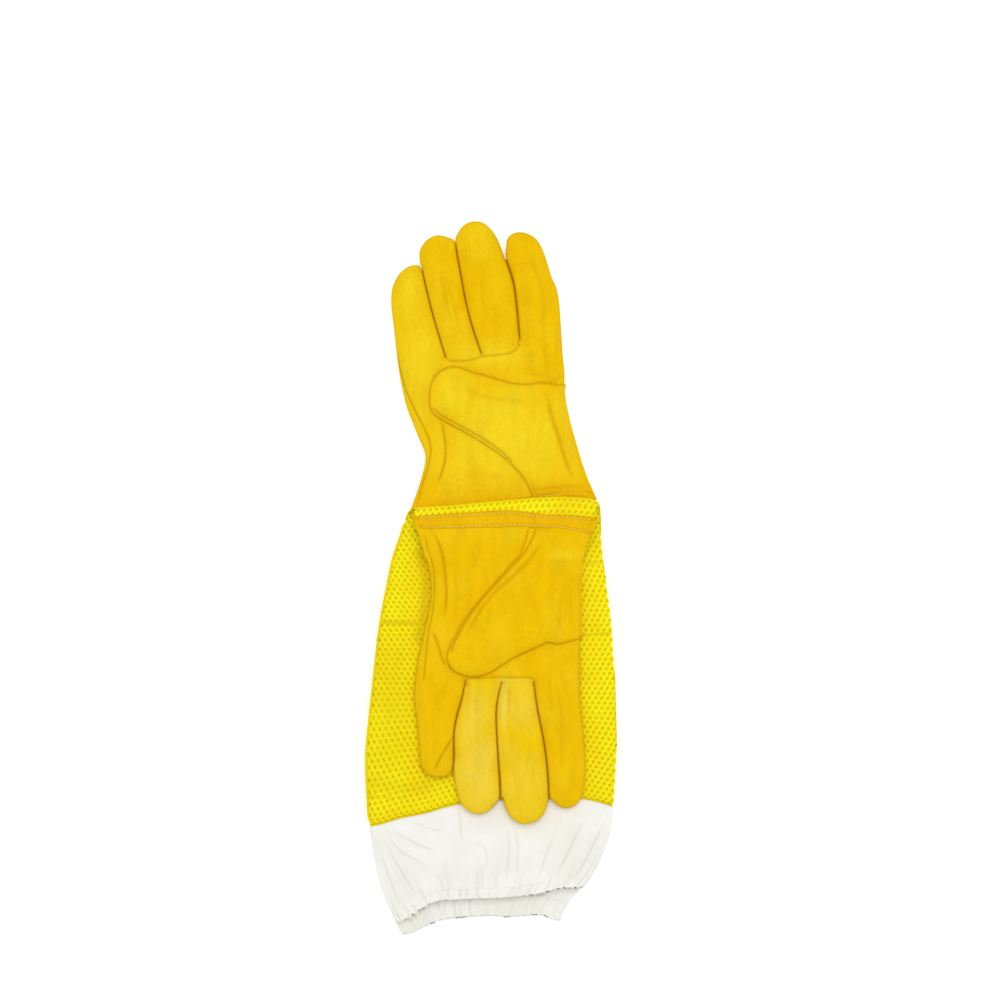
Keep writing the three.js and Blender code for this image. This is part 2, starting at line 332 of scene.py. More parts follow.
def thicken(verts, faces, normals, wall):
    """A closed wall from an outer surface, inwards along its normals."""
    n = len(verts)
    both = np.vstack([verts, verts - normals * wall])
    rim = rim_edges(faces)
    sides = np.column_stack([rim[:, 1], rim[:, 0], rim[:, 0] + n, rim[:, 1] + n])
    return both, [faces, faces[:, ::-1] + n, sides], np.vstack([normals, -normals])


def part_of(verts, faces, normals, keep, extra=()):
    """The part of a surface made of the faces marked keep."""
    kept = faces[keep]
    used = np.unique(kept)
    to_new = np.full(len(verts), -1)
    to_new[used] = np.arange(len(used))
    return (verts[used], to_new[kept], normals[used], *[e[used] for e in extra])


def fill(outline, lines, spacing=1.6):
    """Points and triangles that fill a closed outline, finer along its edge and along lines."""
    ring = closed(outline)
    area = 0.5 * np.sum(ring[:-1, 0] * ring[1:, 1] - ring[1:, 0] * ring[:-1, 1])
    inward = normals_2d(outline, is_ring=True) * np.sign(area)
    rows = []
    for offset in (0.4, 1.0, 1.8, 2.9):
        row = outline + inward * offset
        rows.append(row[(distance(row, ring) > 0.94 * offset) & inside(row, outline)])
    low, high = outline.min(0), outline.max(0)
    step = spacing * math.sqrt(3) / 2
    j, i = np.mgrid[0:int((high[1] - low[1]) / step) + 2, 0:int((high[0] - low[0]) / spacing) + 2]
    grid = np.column_stack([(low[0] + (i + 0.5 * (j % 2)) * spacing).ravel(), (low[1] + j * step).ravel()])
    grid += random.uniform(-0.12, 0.12, grid.shape)
    grid = grid[inside(grid, outline)]
    rows.append(grid[distance(grid, ring) > 3.7])
    free = np.vstack(rows)
    on_lines = []
    for line in lines:
        free = free[distance(free, line) > 1.0]
    for line in lines:
        side = normals_2d(line)
        for offset in (0.0, 0.55, -0.55):
            row = line + side * offset
            keep = inside(row, outline) & (distance(row, ring) > 0.3)
            for other in lines:
                if offset and other is not line:
                    keep &= distance(row, other) > 0.5
            on_lines.append(row[keep])
    points = np.vstack([outline, free, *on_lines])
    made = geometry.delaunay_2d_cdt([Vector(p) for p in points], [], [list(range(len(outline)))], 1, 1e-4)
    verts = np.array([v[:] for v in made[0]])
    faces = np.array([f for f in made[2] if len(f) == 3])
    a, b, c = verts[faces[:, 0]], verts[faces[:, 1]], verts[faces[:, 2]]
    turn = (b[:, 0] - a[:, 0]) * (c[:, 1] - a[:, 1]) - (b[:, 1] - a[:, 1]) * (c[:, 0] - a[:, 0])
    faces[turn < 0] = faces[turn < 0][:, ::-1]
    return verts, faces[np.abs(turn) > 1e-6]


# ---- materials ----------------------------------------------------------------------------------
WHITE = (1.0, 1.0, 1.0, 1.0)
BLACK = (0.0, 0.0, 0.0, 1.0)
# the colour of the deepest painted shade, down in the gaps between fingers
DEEPEST_SHADE = (120, 84, 0)


def srgb(*colour):
    """Linear colour from 0 to 255 screen values."""
    shares = [value / 255 for value in colour]
    return tuple(v / 12.92 if v <= 0.04045 else ((v + 0.055) / 1.055) ** 2.4 for v in shares) + (1.0,)


class Shader:
    """A material under construction: a Principled shader and the nodes that feed it."""

    def __init__(self, name, roughness, specular, sheen=0.0):
        self.material = bpy.data.materials.new(name)
        self.material.use_nodes = True
        self.tree = self.material.node_tree
        self.shader = self.tree.nodes["Principled BSDF"]
        self.place = self.node("TexCoord", "Object")
        self.give(self.shader, {"Roughness": roughness, "Specular IOR Level": specular,
                                "Sheen Weight": sheen, "Sheen Roughness": 0.6})

    def give(self, node, inputs):
        """Gives each input a value, or a link from another node."""
        for key, value in inputs.items():
            if isinstance(value, bpy.types.NodeSocket):
                self.tree.links.new(value, node.inputs[key])
            else:
                node.inputs[key].default_value = value

    def node(self, kind, output, inputs=(), **settings):
        """One output of a new node."""
        node = self.tree.nodes.new("ShaderNode" + kind)
        for key, value in settings.items():
            setattr(node, key, value)
        self.give(node, dict(inputs))
        return node.outputs[output]

    def noise(self, size, detail=2.0, stretch=None):
        """Noise with features of a size in millimetres."""
        place = self.place
        if stretch:
            place = self.node("Mapping", "Vector", {"Vector": place, "Scale": stretch})
        return self.node("TexNoise", "Fac", {"Vector": place, "Scale": 1 / (size * MM), "Detail": detail})

    def cells(self, size, randomness=1.0):
        return self.node("TexVoronoi", "Distance", {"Vector": self.place, "Scale": 1 / (size * MM),
                                                    "Randomness": randomness})

    def threads(self, pitch, direction):
        """Parallel threads of a pitch in millimetres."""
        inputs = {"Vector": self.place, "Scale": math.pi / 10 / (pitch * MM), "Distortion": 0.6,
                  "Detail Scale": 2.0}
        return self.node("TexWave", "Fac", inputs, bands_direction=direction)

    def weave(self, pitch):
        return self.math("MULTIPLY", self.threads(pitch, "X"), self.threads(pitch, "Y"))

    def attribute(self, name):
        return self.node("Attribute", "Fac", attribute_name=name)

    def math(self, operation, a, b):
        return self.node("Math", "Value", {0: a, 1: b}, operation=operation)

    def ramp(self, factor, low, high, start=0.3, end=0.7):
        """From colour low to colour high as factor goes from start to end."""
        colour = self.node("ValToRGB", "Color", {"Fac": factor})
        for element, place, value in zip(colour.node.color_ramp.elements, (start, end), (low, high)):
            element.position = place
            element.color = value
        return colour

    def mix(self, factor, a, b, blend="MIX"):
        return self.node("Mix", 2, {0: factor, 6: a, 7: b}, data_type="RGBA", blend_type=blend)

    def tinted(self, colour, tint):
        return self.mix(1.0, colour, tint, "MULTIPLY")

    def colour(self, socket):
        self.give(self.shader, {"Base Color": socket})

    def roughness(self, socket, low, high):
        rough = self.node("MapRange", "Result", {"Value": socket, "To Min": low, "To Max": high})
        self.give(self.shader, {"Roughness": rough})

    def bump(self, *layers):
        """Bump from (height, depth in millimetres) layers."""
        inputs = {"Strength": 1.0}
        for height, depth in layers:
            inputs |= {"Height": height, "Distance": depth * MM}
            inputs["Normal"] = self.node("Bump", "Normal", inputs)
        self.give(self.shader, {"Normal": inputs["Normal"]})


def leather(name, main, light, dark):
    """Soft buffed leather: cloudy colour, a short nap, fine pores, and painted shade in creases, seams and
    gaps.
    """
    s = Shader(name, 0.8, 0.06)
    spots = s.math("ADD", s.attribute("pale"), s.math("MULTIPLY", s.noise(26, 4.0), 0.7))
    cloudy = s.ramp(spots, srgb(*main), srgb(*light), 0.3, 1.15)
    brushed = s.ramp(s.noise(7, 4.0, (1, 0.3, 1)), (0.86, 0.84, 0.8, 1), WHITE, 0.3, 0.6)
    nap = s.ramp(s.noise(1.3, 4.0, (1, 0.45, 1)), (0.8, 0.77, 0.6, 1), WHITE, 0.25, 0.55)
    tone = s.mix(0.55, cloudy, s.tinted(cloudy, brushed))
    tone = s.mix(0.4, tone, s.tinted(tone, nap))
    # painted shade: the crease values darken the colour towards the dark one, and the highest towards the
    # deepest shade
    shaded_tone = s.mix(s.attribute("crease"), tone, srgb(*dark))
    deep = s.ramp(s.attribute("crease"), BLACK, WHITE, 0.8, 1.0)
    s.colour(s.mix(deep, shaded_tone, srgb(*DEEPEST_SHADE)))
    s.roughness(s.noise(9, 3.0), 0.72, 0.92)
    s.bump((s.cells(0.9), 0.08), (s.noise(0.5, 3.0), 0.10), (s.noise(6), 0.22))
    return s.material


def net_material():
    """Bright knitted cord of the ventilated mesh."""
    s = Shader("yellow_mesh", 0.6, 0.12)
    tone = s.ramp(s.noise(36), srgb(250, 228, 4), srgb(254, 242, 12), 0.35, 0.6)
    # painted shade down in the holes and in the sleeves' creases
    s.colour(s.mix(s.attribute("crease"), tone, srgb(216, 184, 0)))
    s.roughness(s.noise(2.0), 0.5, 0.7)
    s.bump((s.threads(0.45, "DIAGONAL"), 0.06), (s.noise(0.4), 0.05))
    return s.material


def lining_material():
    """The olive-yellow knitted backing seen through the holes. Its colour is darker partly as painted shade
    down in them.
    """
    s = Shader("yellow_mesh_backing", 0.85, 0.05)
    stitches = s.cells(0.7, 0.4)
    tone = s.ramp(s.noise(30), srgb(228, 204, 2), srgb(240, 218, 8))
    s.colour(s.tinted(tone, s.ramp(stitches, WHITE, (0.72, 0.72, 0.66, 1), 0.2, 0.75)))
    s.bump((stitches, 0.15), (s.noise(0.5), 0.05))
    return s.material


def cotton_material():
    """Off-white plain-weave canvas."""
    s = Shader("white_cotton", 0.9, 0.1)
    weave = s.weave(0.55)
    cloudy = s.ramp(s.noise(28, 3.0), srgb(246, 245, 237), srgb(254, 254, 250))
    tone = s.tinted(cloudy, s.ramp(weave, (0.95, 0.95, 0.93, 1), WHITE, 0.0, 0.5))
    # painted shade in the valleys of the gathers, beside laid-in creases and along the hem's edge
    s.colour(s.mix(s.attribute("crease"), tone, srgb(214, 212, 200)))
    s.bump((weave, 0.08), (s.noise(0.6, 3.0), 0.06), (s.noise(6), 0.2))
    return s.material


def tape_material():
    """Plain-woven binding over the sleeve's seam."""
    s = Shader("seam_tape", 0.75, 0.1)
    weave = s.weave(0.6)
    tone = s.ramp(s.noise(25), srgb(246, 214, 10), srgb(252, 230, 20))
    s.colour(s.tinted(tone, s.ramp(weave, (0.9, 0.9, 0.86, 1), WHITE, 0.0, 0.5)))
    s.bump((weave, 0.08), (s.noise(0.5), 0.05))
    return s.material


def thread_material(name, light, dark):
    """Twisted sewing thread."""
    s = Shader(name, 0.55, 0.4, sheen=0.1)
    twist = s.threads(0.5, "DIAGONAL")
    s.colour(s.ramp(twist, srgb(*dark), srgb(*light), 0.1, 0.6))
    s.bump((twist, 0.08))
    return s.material


def elastic_material():
    """Braided elastic with fine ribs."""
    s = Shader("braided_elastic", 0.7, 0.3)
    ribs = s.threads(1.2, "X")
    s.colour(s.ramp(ribs, srgb(214, 212, 204), srgb(240, 239, 233), 0.1, 0.7))
    s.bump((ribs, 0.2), (s.noise(0.5), 0.05))
    return s.material


# Each leather's colours: main, paler, and the colour of its painted shade.
GOLD = leather("gold_leather", (241, 194, 1), (247, 219, 34), (192, 144, 0))
BAND = leather("band_leather", (239, 187, 4), (244, 206, 16), (190, 134, 0))
SUEDE = leather("pale_suede", (243, 204, 12), (245, 218, 78), (200, 158, 6))
TAPE = tape_material()
NET = net_material()
BACKING = lining_material()
CANVAS = cotton_material()
ELASTIC = elastic_material()
YELLOW_THREAD = thread_material("yellow_thread", (250, 222, 20), (214, 180, 8))
PALE_THREAD = thread_material("pale_thread", (250, 224, 96), (242, 206, 60))
GREY_THREAD = thread_material("overlock_thread", (140, 134, 144), (96, 92, 102))


# ---- the leather hands --------------------------------------------------------------------------
# side_in runs from the hem up to the little finger, tips round each finger's end, gaps from the
# fingertips down to the crotch between two fingers, and side_out from the index finger to the hem.
RIGHT = {
    "z": RIGHT_Z,
    "way": 1,
    "side_in": [(-60, 43), (-56.2, 52.3), (-53.1, 60.8), (-49.6, 71.5), (-47.2, 81), (-46.5, 87.6),
                (-47.6, 92.6), (-50.6, 99.4), (-55.2, 110.7), (-60.4, 124.6), (-65.8, 150.6), (-69.2, 180),
                (-71.1, 196), (-70.9, 206)],
    "tips": [
        [(-69.2, 212.5), (-65.4, 219.3), (-59.8, 224), (-54, 225.6)],
        [(-50.7, 229.6), (-50.6, 235.6), (-47.9, 241.2), (-43.3, 245.3), (-38.1, 247.1), (-31.4, 246)],
        [(-23.5, 248), (-19.3, 254), (-13, 257), (-5.8, 256.5), (0.3, 252), (4.7, 245.7), (7.6, 239)],
        [(11.9, 239.5), (12.6, 244.6), (16.2, 248.2), (21.2, 249.4), (27, 248.4), (32.4, 245.2),
         (36.6, 239.6)],
    ],
    "gaps": [
        [(-49.5, 223.6), (-46.9, 212.6), (-44.3, 201.6), (-41.3, 190), (-37.2, 176), (-32.2, 159.8)],
        [(-25.2, 243), (-24.2, 236), (-22.7, 227.5), (-20.3, 214.6), (-18, 201.6), (-15.1, 189.4),
         (-11.5, 177.1), (-6.3, 161.8)],
        [(11, 231.4), (15.1, 219.4), (17.8, 208.2), (19.8, 191), (20.9, 178), (21.4, 172.4)],
    ],
    "side_out": [(40.3, 230.4), (44, 218.2), (48, 208.6), (49.8, 199), (50.8, 186), (52.3, 163),
                 (53.8, 145), (53.3, 131.8), (56.7, 113.8), (64.1, 85), (69.1, 70.6), (74.2, 58.3),
                 (79.5, 43)],
    "root_front": [(-90, 166), (-40, 166), (-33.6, 162), (-31.6, 158.4), (-28, 156.5), (-22, 156.2),
                   (-14, 157.2), (-6.3, 159.5), (2.9, 160.6), (10, 161.3), (16, 162.9), (19.8, 166.2),
                   (21.5, 171.4), (26, 167), (90, 166)],
    "root_back": [(-90, 166), (90, 166)],
    "bend": (167, 187),
    "open": (0.09, 0.1, 0.2),
    "creases": [
        ([(-37, 224), (-33, 206), (-29.5, 192), (-26, 176)], 0.45, 1.6),
        ([(-30, 216), (-26.6, 198), (-22, 180)], 0.4, 1.4),
        ([(-5, 232), (-5.5, 206), (-2, 182)], 0.4, 2.0),
        ([(27, 238), (33, 222), (37.5, 206), (38.8, 180), (38.6, 162)], 0.5, 1.8),
        ([(38.8, 170), (40.6, 154), (41.2, 139)], 0.5, 1.4),
        ([(20, 160.5), (27, 160.2), (35, 161.6)], 0.35, 1.4),
        ([(26, 147.2), (34, 146.2), (42, 146.7)], 0.4, 1.3),
        ([(-37, 117), (-34, 109), (-32.2, 97), (-32.4, 86), (-35, 75), (-39.7, 64)], 1.0, 0.75),
        ([(-66.9, 166), (-64.8, 151), (-60.9, 136.7), (-57.1, 127.1), (-52.3, 117.4), (-47.4, 107.8),
          (-44.1, 100.1), (-42.8, 93.3), (-43.6, 85.6), (-46, 76), (-48.9, 66.3), (-53.5, 50)], 1.0, 0.6),
        ([(43.5, 141), (47, 144.2), (50.8, 147.6)], 0.6, 0.5),
        ([(46, 139.6), (49.5, 143.8), (52.8, 145.4)], 0.6, 0.5),
        ([(-58, 205), (-57, 190), (-52, 174)], 0.2, 2.0),
        ([(-20, 76), (-4, 74), (12, 71)], 0.2, 3.0),
    ],
}
LEFT = {
    "z": LEFT_HAND_Z,
    "way": -1,
    "side_in": [(-55.4, 43), (-53.6, 37), (-50.8, 28), (-48, 18.5), (-44.2, 8), (-42.6, -4), (-42.9, -17),
                (-45.6, -31), (-49.4, -46), (-52.6, -62), (-54.3, -78), (-54.3, -90), (-52.6, -104),
                (-51.1, -120.2), (-50.4, -131)],
    "tips": [
        [(-48.2, -138.4), (-43.2, -142.2), (-36, -143.5), (-30.2, -142)],
        [(-24.1, -153.5), (-21.6, -160.8), (-16.4, -167), (-8.6, -169.9), (-1.4, -167.9), (3.6, -163)],
        [(9.2, -157.7), (10.9, -165), (14.6, -171.7), (19.6, -175.7), (25.4, -177), (32.6, -175.3),
         (38.2, -170.4), (41, -164)],
        [(44.4, -159.4), (49, -163.9), (54.7, -165.6), (60.5, -163.9), (64.8, -159.5), (67.2, -152)],
    ],
    "gaps": [
        [(-26.8, -138), (-26, -128), (-26, -113), (-24.2, -100.8), (-20.6, -87.8), (-17.6, -74)],
        [(7.4, -157.6), (7, -145.4), (6, -131), (4.9, -113), (4.4, -98.6), (5.6, -86.4), (8.4, -75)],
        [(42.4, -156.8), (41.6, -141.8), (39.9, -125.3), (36.9, -108), (34, -93.6), (31.4, -75)],
    ],
    "side_out": [(68.4, -139.7), (68.4, -124), (67, -109), (65.3, -91), (64.8, -73), (64.7, -44),
                 (64.7, -14), (65.2, 5.8), (67, 18), (70.6, 27.4), (74.6, 35.4), (76.6, 41)],
    "root_front": [(-90, -77), (-20, -77), (-18.2, -74), (-16.6, -72.4), (-12, -71.8), (0, -71.5),
                   (20, -71.5), (28, -71.7), (30.8, -72.6), (32, -75), (36, -77), (90, -77)],
    "root_back": [(-90, -77), (90, -77)],
    "bend": (-78, -98),
    "open": (0.12, 0.22, 0.14),
    "creases": [
        ([(-43, 36), (-38.6, 29), (-34.6, 18), (-32.4, 4), (-31.4, -12), (-33, -32)], 0.9, 0.9),
        ([(-47, 34), (-45, 22), (-41.4, 10), (-40, -4), (-41, -22), (-44.4, -40), (-46.6, -62),
          (-48.4, -78)], 0.9, 0.6),
        ([(-42.5, -36), (-38, -46), (-34.2, -58), (-30.6, -66)], 0.8, 1.0),
        ([(-25.6, 4), (-24.5, -12), (-25.4, -30)], 0.3, 1.6),
        ([(-26.4, -114), (-30.5, -121), (-35.5, -129), (-41, -140)], 0.9, 0.9),
        ([(42, -68), (43.5, -84), (44.5, -100)], 0.45, 1.6),
        ([(48, -74), (51.4, -100), (51.5, -128), (53, -142)], 0.5, 1.8),
        ([(15.2, -72), (13.2, -86), (13.4, -102), (15, -130)], 0.4, 1.3),
        ([(-11, -78), (-9, -104), (-7.4, -128)], 0.35, 1.8),
        ([(-14.2, -72), (-16.4, -90), (-15, -114)], 0.22, 1.4),
        ([(30, -120), (32, -138), (30.4, -156)], 0.2, 2.2),
        ([(12.4, -71), (11.2, -82), (9.2, -96), (9, -108)], -0.4, 1.3),
    ],
}
FINGERS = ("little", "ring", "middle", "index")


def beside(line, distance_off, way):
    """A gap's line moved onto the edge of the finger beside it, further so towards the fingertips."""
    line = np.array(line, float)
    wider = 1 + 2 * np.linspace(1, 0, len(line))[:, None] ** 3
    return line - normals_2d(line) * distance_off * wider * way


def hand_outline(hand):
    """The closed outline of palm and fingers, and the gap lines between the fingers."""
    chains = []
    for k in range(4):
        before, after = list(hand["side_in"]), list(hand["side_out"])
        if k > 0:
            before = list(beside(hand["gaps"][k - 1], -hand["open"][k - 1], hand["way"])[::-1])
            before[0] = hand["gaps"][k - 1][-1]
        if k < 3:
            after = list(beside(hand["gaps"][k], hand["open"][k], hand["way"]))
            after[-1] = hand["gaps"][k][-1]
        chain = smooth([*before, *hand["tips"][k], *after], 0.9)
        chains.append(chain[:-1] if k < 3 else chain)
    return np.vstack(chains), [smooth(g, 0.9) for g in hand["gaps"]]


RIDGE = smooth([(-62, 50.2), (-52, 51.1), (-26, 53), (2.7, 55.7), (31.7, 58.2), (50, 58.9), (62, 58.5),
                (75, 57), (84, 55.6)], 1.5)


def fold_y(x):
    """Where the fold's straight parts end, under the ridge."""
    return at_x(RIDGE, x) - FOLD_RADIUS


def at_x(line, x):
    """The y of a line that runs across the glove."""
    return np.interp(x, line[:, 0], line[:, 1])


def side_x(line, y):
    """The x of a line that runs along the glove."""
    order = np.argsort(line[:, 1])
    return np.interp(y, line[order, 1], line[order, 0])


def hand_heights(hand, x, y):
    """Lowest and highest surface of the filled hand, away from its edges."""
    if hand["way"] > 0:
        return np.zeros_like(x), HAND - WRIST_DROP * smoothstep((80 - y) / 24)
    past = np.clip(y - fold_y(x), 0, FOLD_RADIUS * 0.98)
    high = FOLD_Z + np.sqrt(FOLD_RADIUS**2 - past**2)
    inner = FOLD_RADIUS - FOLDED
    rise = smoothstep((y + 2) / 42)
    low = LEFT_HAND_Z + (FOLD_Z + inner - LEFT_HAND_Z) * rise
    low -= inner - np.sqrt(np.maximum(inner**2 - np.clip(past, 0, inner * 0.9) ** 2, 0))
    return low, high


def finger_of(gaps, points):
    """0 to 3 for the finger that each point belongs to, past the roots."""
    number = np.zeros(len(points), int)
    for gap in gaps:
        number += points[:, 0] > side_x(gap, points[:, 1])
    return number


def carve(points, creases):
    """Depth of soft creases and the shade painted along them, each a line with its depth and width. A
    negative depth is a ridge, which gets no shade."""
    depth, shade = np.zeros(len(points)), np.zeros(len(points))
    for line, deep, wide in creases:
        d, place = nearest(points, smooth(line, 1.0))
        deep = deep * fading(place, 0.22 if wide > 0.6 else 0.08)
        swell = 0.3 * bell((d - 2.4 * wide) / (1.3 * wide)) * (deep > 0)
        depth += deep * (bell(d / wide) - swell)
        dark = 0.8 if wide < 1.2 else 0.42
        shade = np.maximum(shade, dark * deep * bell(d / (0.7 * wide)))
    return depth, shade


def hand_top(hand, ring, points):
    """The smooth upper surface of the hand, which the thumb and the band lie on."""
    low, high = hand_heights(hand, points[:, 0], points[:, 1])
    middle = (low + high) / 2
    d = np.where(inside(points, ring), distance(points, closed(ring)), 0)
    return middle + (high - middle) * rounded(d, BED_ROUND)


def build_hand(side, hand, parent):
    """Palm and finger fronts, back and finger backs, as walls of leather. Returns the outline."""
    outline, gaps = hand_outline(hand)
    ring = closed(outline)
    pieces = {}
    for face, panel in (("front", "palm_panel"), ("back", "back_panel")):
        root = smooth(hand["root_" + face])
        creases = hand["creases"] if face == "front" else []
        flat, faces = fill(outline, [root] + [smooth(c[0]) for c in creases])
        x, y = flat.T
        low, high = hand_heights(hand, x, y)
        middle = (low + high) / 2
        d = distance(flat, ring)
        number = finger_of(gaps, flat)
        if face == "front":
            past_root = hand["way"] * (y - at_x(root, x))
            puff = rounded(d, PALM_ROUND + (FINGER_ROUND - PALM_ROUND) * smoothstep(past_root / 12 + 0.5))
            pucker = noise(x, y, 3.6, 5) * bell((d - 2.2) / 1.8)
            z = middle + (high - middle + 0.30 * noise(x, y, 19, 3) + 0.16 * noise(x, y, 7, 4)) * puff
            depth, shade = carve(flat, creases)
            # only the ring and the middle finger are sewn on at their roots
            seam = np.abs(past_root) + 40 * ~((number == 1) | (number == 2))
            z += 0.13 * pucker - 0.9 * bell(seam / 0.55) + 0.35 * bell((seam - 2.2) / 1.3) - depth
            # painted shade in the creases, along the root seam, round the edge, beside each gap and in a dot
            # at each crotch
            shades = [shade, 0.45 * bell(seam / 0.6), 0.4 * bell(d / 0.7)]
            for gap in gaps:
                off, place = nearest(flat, gap)
                shades.append((0.6 - 0.2 * place) * bell(off / 0.5))
                shades.append(0.95 * bell(np.hypot(x - gap[-1, 0], y - gap[-1, 1]) / 0.9))
            shade = np.maximum.reduce(shades)
        else:
            z = middle - (middle - low - 0.15 * (1 + noise(x, y, 14, 6))) * rounded(d, BACK_ROUND)
            # painted shade round the back's edge
            shade = 0.4 * bell(d / 0.9)
            faces = faces[:, ::-1]
        verts = np.column_stack([x, y, z])
        normals = surface_normals(verts, faces)
        centre = flat[faces].mean(1)
        beyond = hand["way"] * (centre[:, 1] - at_x(root, centre[:, 0])) > 0
        which = np.where(beyond, finger_of(gaps, centre), -1)
        for k in range(-1, 4):
            name = f"{side}_{panel}" if k < 0 else f"{side}_{FINGERS[k]}_{face}"
            v, f, n, dark = part_of(verts, faces, normals, which == k, (shade,))
            v, f, n = thicken(v, f, n, LEATHER)
            pale = side == "left" and face == "front" and k in (1, 2)
            piece = new_piece(name + "_leather", v, f, SUEDE if pale else GOLD, n, np.r_[dark, dark])
            pieces[name] = declare(piece, name)
    for panel in ("palm_panel", "back_panel"):
        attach(pieces[f"{side}_{panel}"], parent)
    # each finger's front and back, and the gusset after it, have their places baked into their meshes
    start, end = (row(0, y, hand["z"] + HAND) for y in hand["bend"])
    for k, finger in enumerate(FINGERS):
        turning = [pieces[f"{side}_{finger}_{face}"] for face in ("front", "back")]
        if k < 3:
            turning.append(build_gusset(f"{side}_{finger}_gusset_leather", hand, gaps[k]))
        for piece in turning:
            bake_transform(piece)
            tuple(start)
            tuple(end)
    return outline


def build_gusset(name, hand, gap):
    """The narrow strip of leather set in between two fingers, coloured all over as painted shadow deep in the
    gap.
    """
    line = gap[2:]
    across = np.linspace(-GUSSET_HALF, GUSSET_HALF, 5)[:, None]
    flat = (line[:, None] + normals_2d(line)[:, None] * across).reshape(-1, 2)
    low, high = hand_heights(hand, flat[:, 0], flat[:, 1])
    verts = np.column_stack([flat, (low + high) / 2 - 0.5])
    i, j = np.mgrid[0:len(line) - 1, 0:4]
    first = (i * 5 + j).ravel()
    faces = np.column_stack([first, first + 5, first + 6, first + 1])
    normals = surface_normals(verts, faces)
    if normals[:, 2].mean() < 0:
        faces, normals = faces[:, ::-1], -normals
    v, f, n = thicken(verts, faces, normals, GUSSET_WALL)
    return declare(new_piece(name, v, f, GOLD, n, np.full(len(v), 0.88)))


def row(x, y, z):
    """A drawing point in the row frame."""
    return tuple((np.array([x, y, z]) - CENTRE) * MM)


# ---- thumbs -------------------------------------------------------------------------------------
RIGHT_THUMB = {
    "seam": [(53.8, 139.8), (50, 139), (46, 139.4), (41, 140.6), (36, 140.8), (27.7, 139.8), (17.1, 140.4),
             (8.5, 142.5), (-3.1, 145.9), (-14.7, 149.3), (-22, 151.8), (-28.6, 152.2), (-34.8, 150),
             (-40, 145.2), (-42.9, 138.4), (-43.7, 130), (-43.3, 123.2), (-40.8, 118.4), (-34.6, 113.9),
             (-21.6, 106.8), (-7.2, 98.6), (7.2, 88.8), (18, 79.4), (25.2, 70.6), (30, 61.5), (32.6, 56.5)],
    "base": [(77.4, 56), (70.8, 70.9), (65.8, 85.2), (61.6, 99.6), (57.7, 113.8), (54.2, 131), (53.9, 138)],
    "welt": [(-41, 122), (-38.4, 119.6), (-33.2, 116), (-20.4, 109), (-6, 100.8), (8, 91), (15, 84.4)],
    "hinge": ((54.8, 142), (75.4, 60)),
    "wrist_y": 52,
    "tip_y": 150,
    "creases": [
        ([(40.8, 136), (42.4, 125), (45.4, 113.5), (49.4, 101), (52.8, 89.5), (56.2, 79.8), (62, 68)],
         1.2, 1.7),
        ([(45.8, 134), (47.6, 124), (50.6, 112), (54.6, 99), (58.4, 87), (63.2, 75)], -0.5, 2.2),
        ([(-22, 138), (-6, 131), (14, 128), (30, 124)], 0.4, 3.0),
        ([(-30, 133), (-14, 121), (4, 110)], -0.3, 4.0),
        ([(29.5, 69), (32, 63), (35, 58)], 0.6, 0.7),
    ],
}
LEFT_THUMB = {
    "seam": [(66, -42.4), (63.8, -43.5), (54.6, -46.2), (48.2, -47.6), (42.6, -46.3), (39, -47.4),
             (31.6, -50.8), (23.3, -54.5), (15.1, -58.6), (6.8, -64.2), (-2.4, -69.2), (-11.5, -71),
             (-18.9, -70.1), (-25.3, -67.4), (-29.4, -63.2), (-31.3, -57.7), (-30.4, -53.1), (-28.1, -46.7),
             (-23.5, -38.4), (-18.9, -30.2), (-13.4, -22.8), (-6, -13.6), (1.3, -5.4), (8.6, 2.9),
             (16, 11.2), (21.5, 16.7), (23.3, 21.3), (26.1, 28.6), (27.9, 36.5)],
    "base": [(74.6, 36), (71.2, 27.5), (68, 18.5), (66.3, 6), (65.8, -14), (65.9, -38)],
    "welt": [(-27.6, -52), (-25.6, -46), (-21.2, -37.4), (-16, -28.8), (-10.2, -20.4), (-2, -11), (8, 0.2),
             (17, 10), (24, 17.5), (28, 24), (32, 32), (33.4, 36)],
    "hinge": ((65.4, 36), (65.4, -46)),
    "wrist_y": 44,
    "tip_y": -70,
    "creases": [
        ([(41.4, 32), (37, 25), (27.4, 12), (16, 1), (5, -8.6), (-5, -20), (-13, -34), (-18, -46)],
         0.95, 1.7),
        ([(36.6, 30), (30, 20), (20, 9), (8, -3), (-4, -16), (-13, -29)], -0.5, 2.0),
        ([(64, 17.5), (54, 16.5), (42, 20)], -0.5, 3.0),
        ([(60, 12.5), (50, 11.5), (40, 13)], 0.35, 1.6),
        ([(52, -6), (50, -24), (49, -42)], 0.45, 1.8),
        ([(59, 8), (58.6, -14), (58, -36)], 0.4, 1.6),
    ],
}


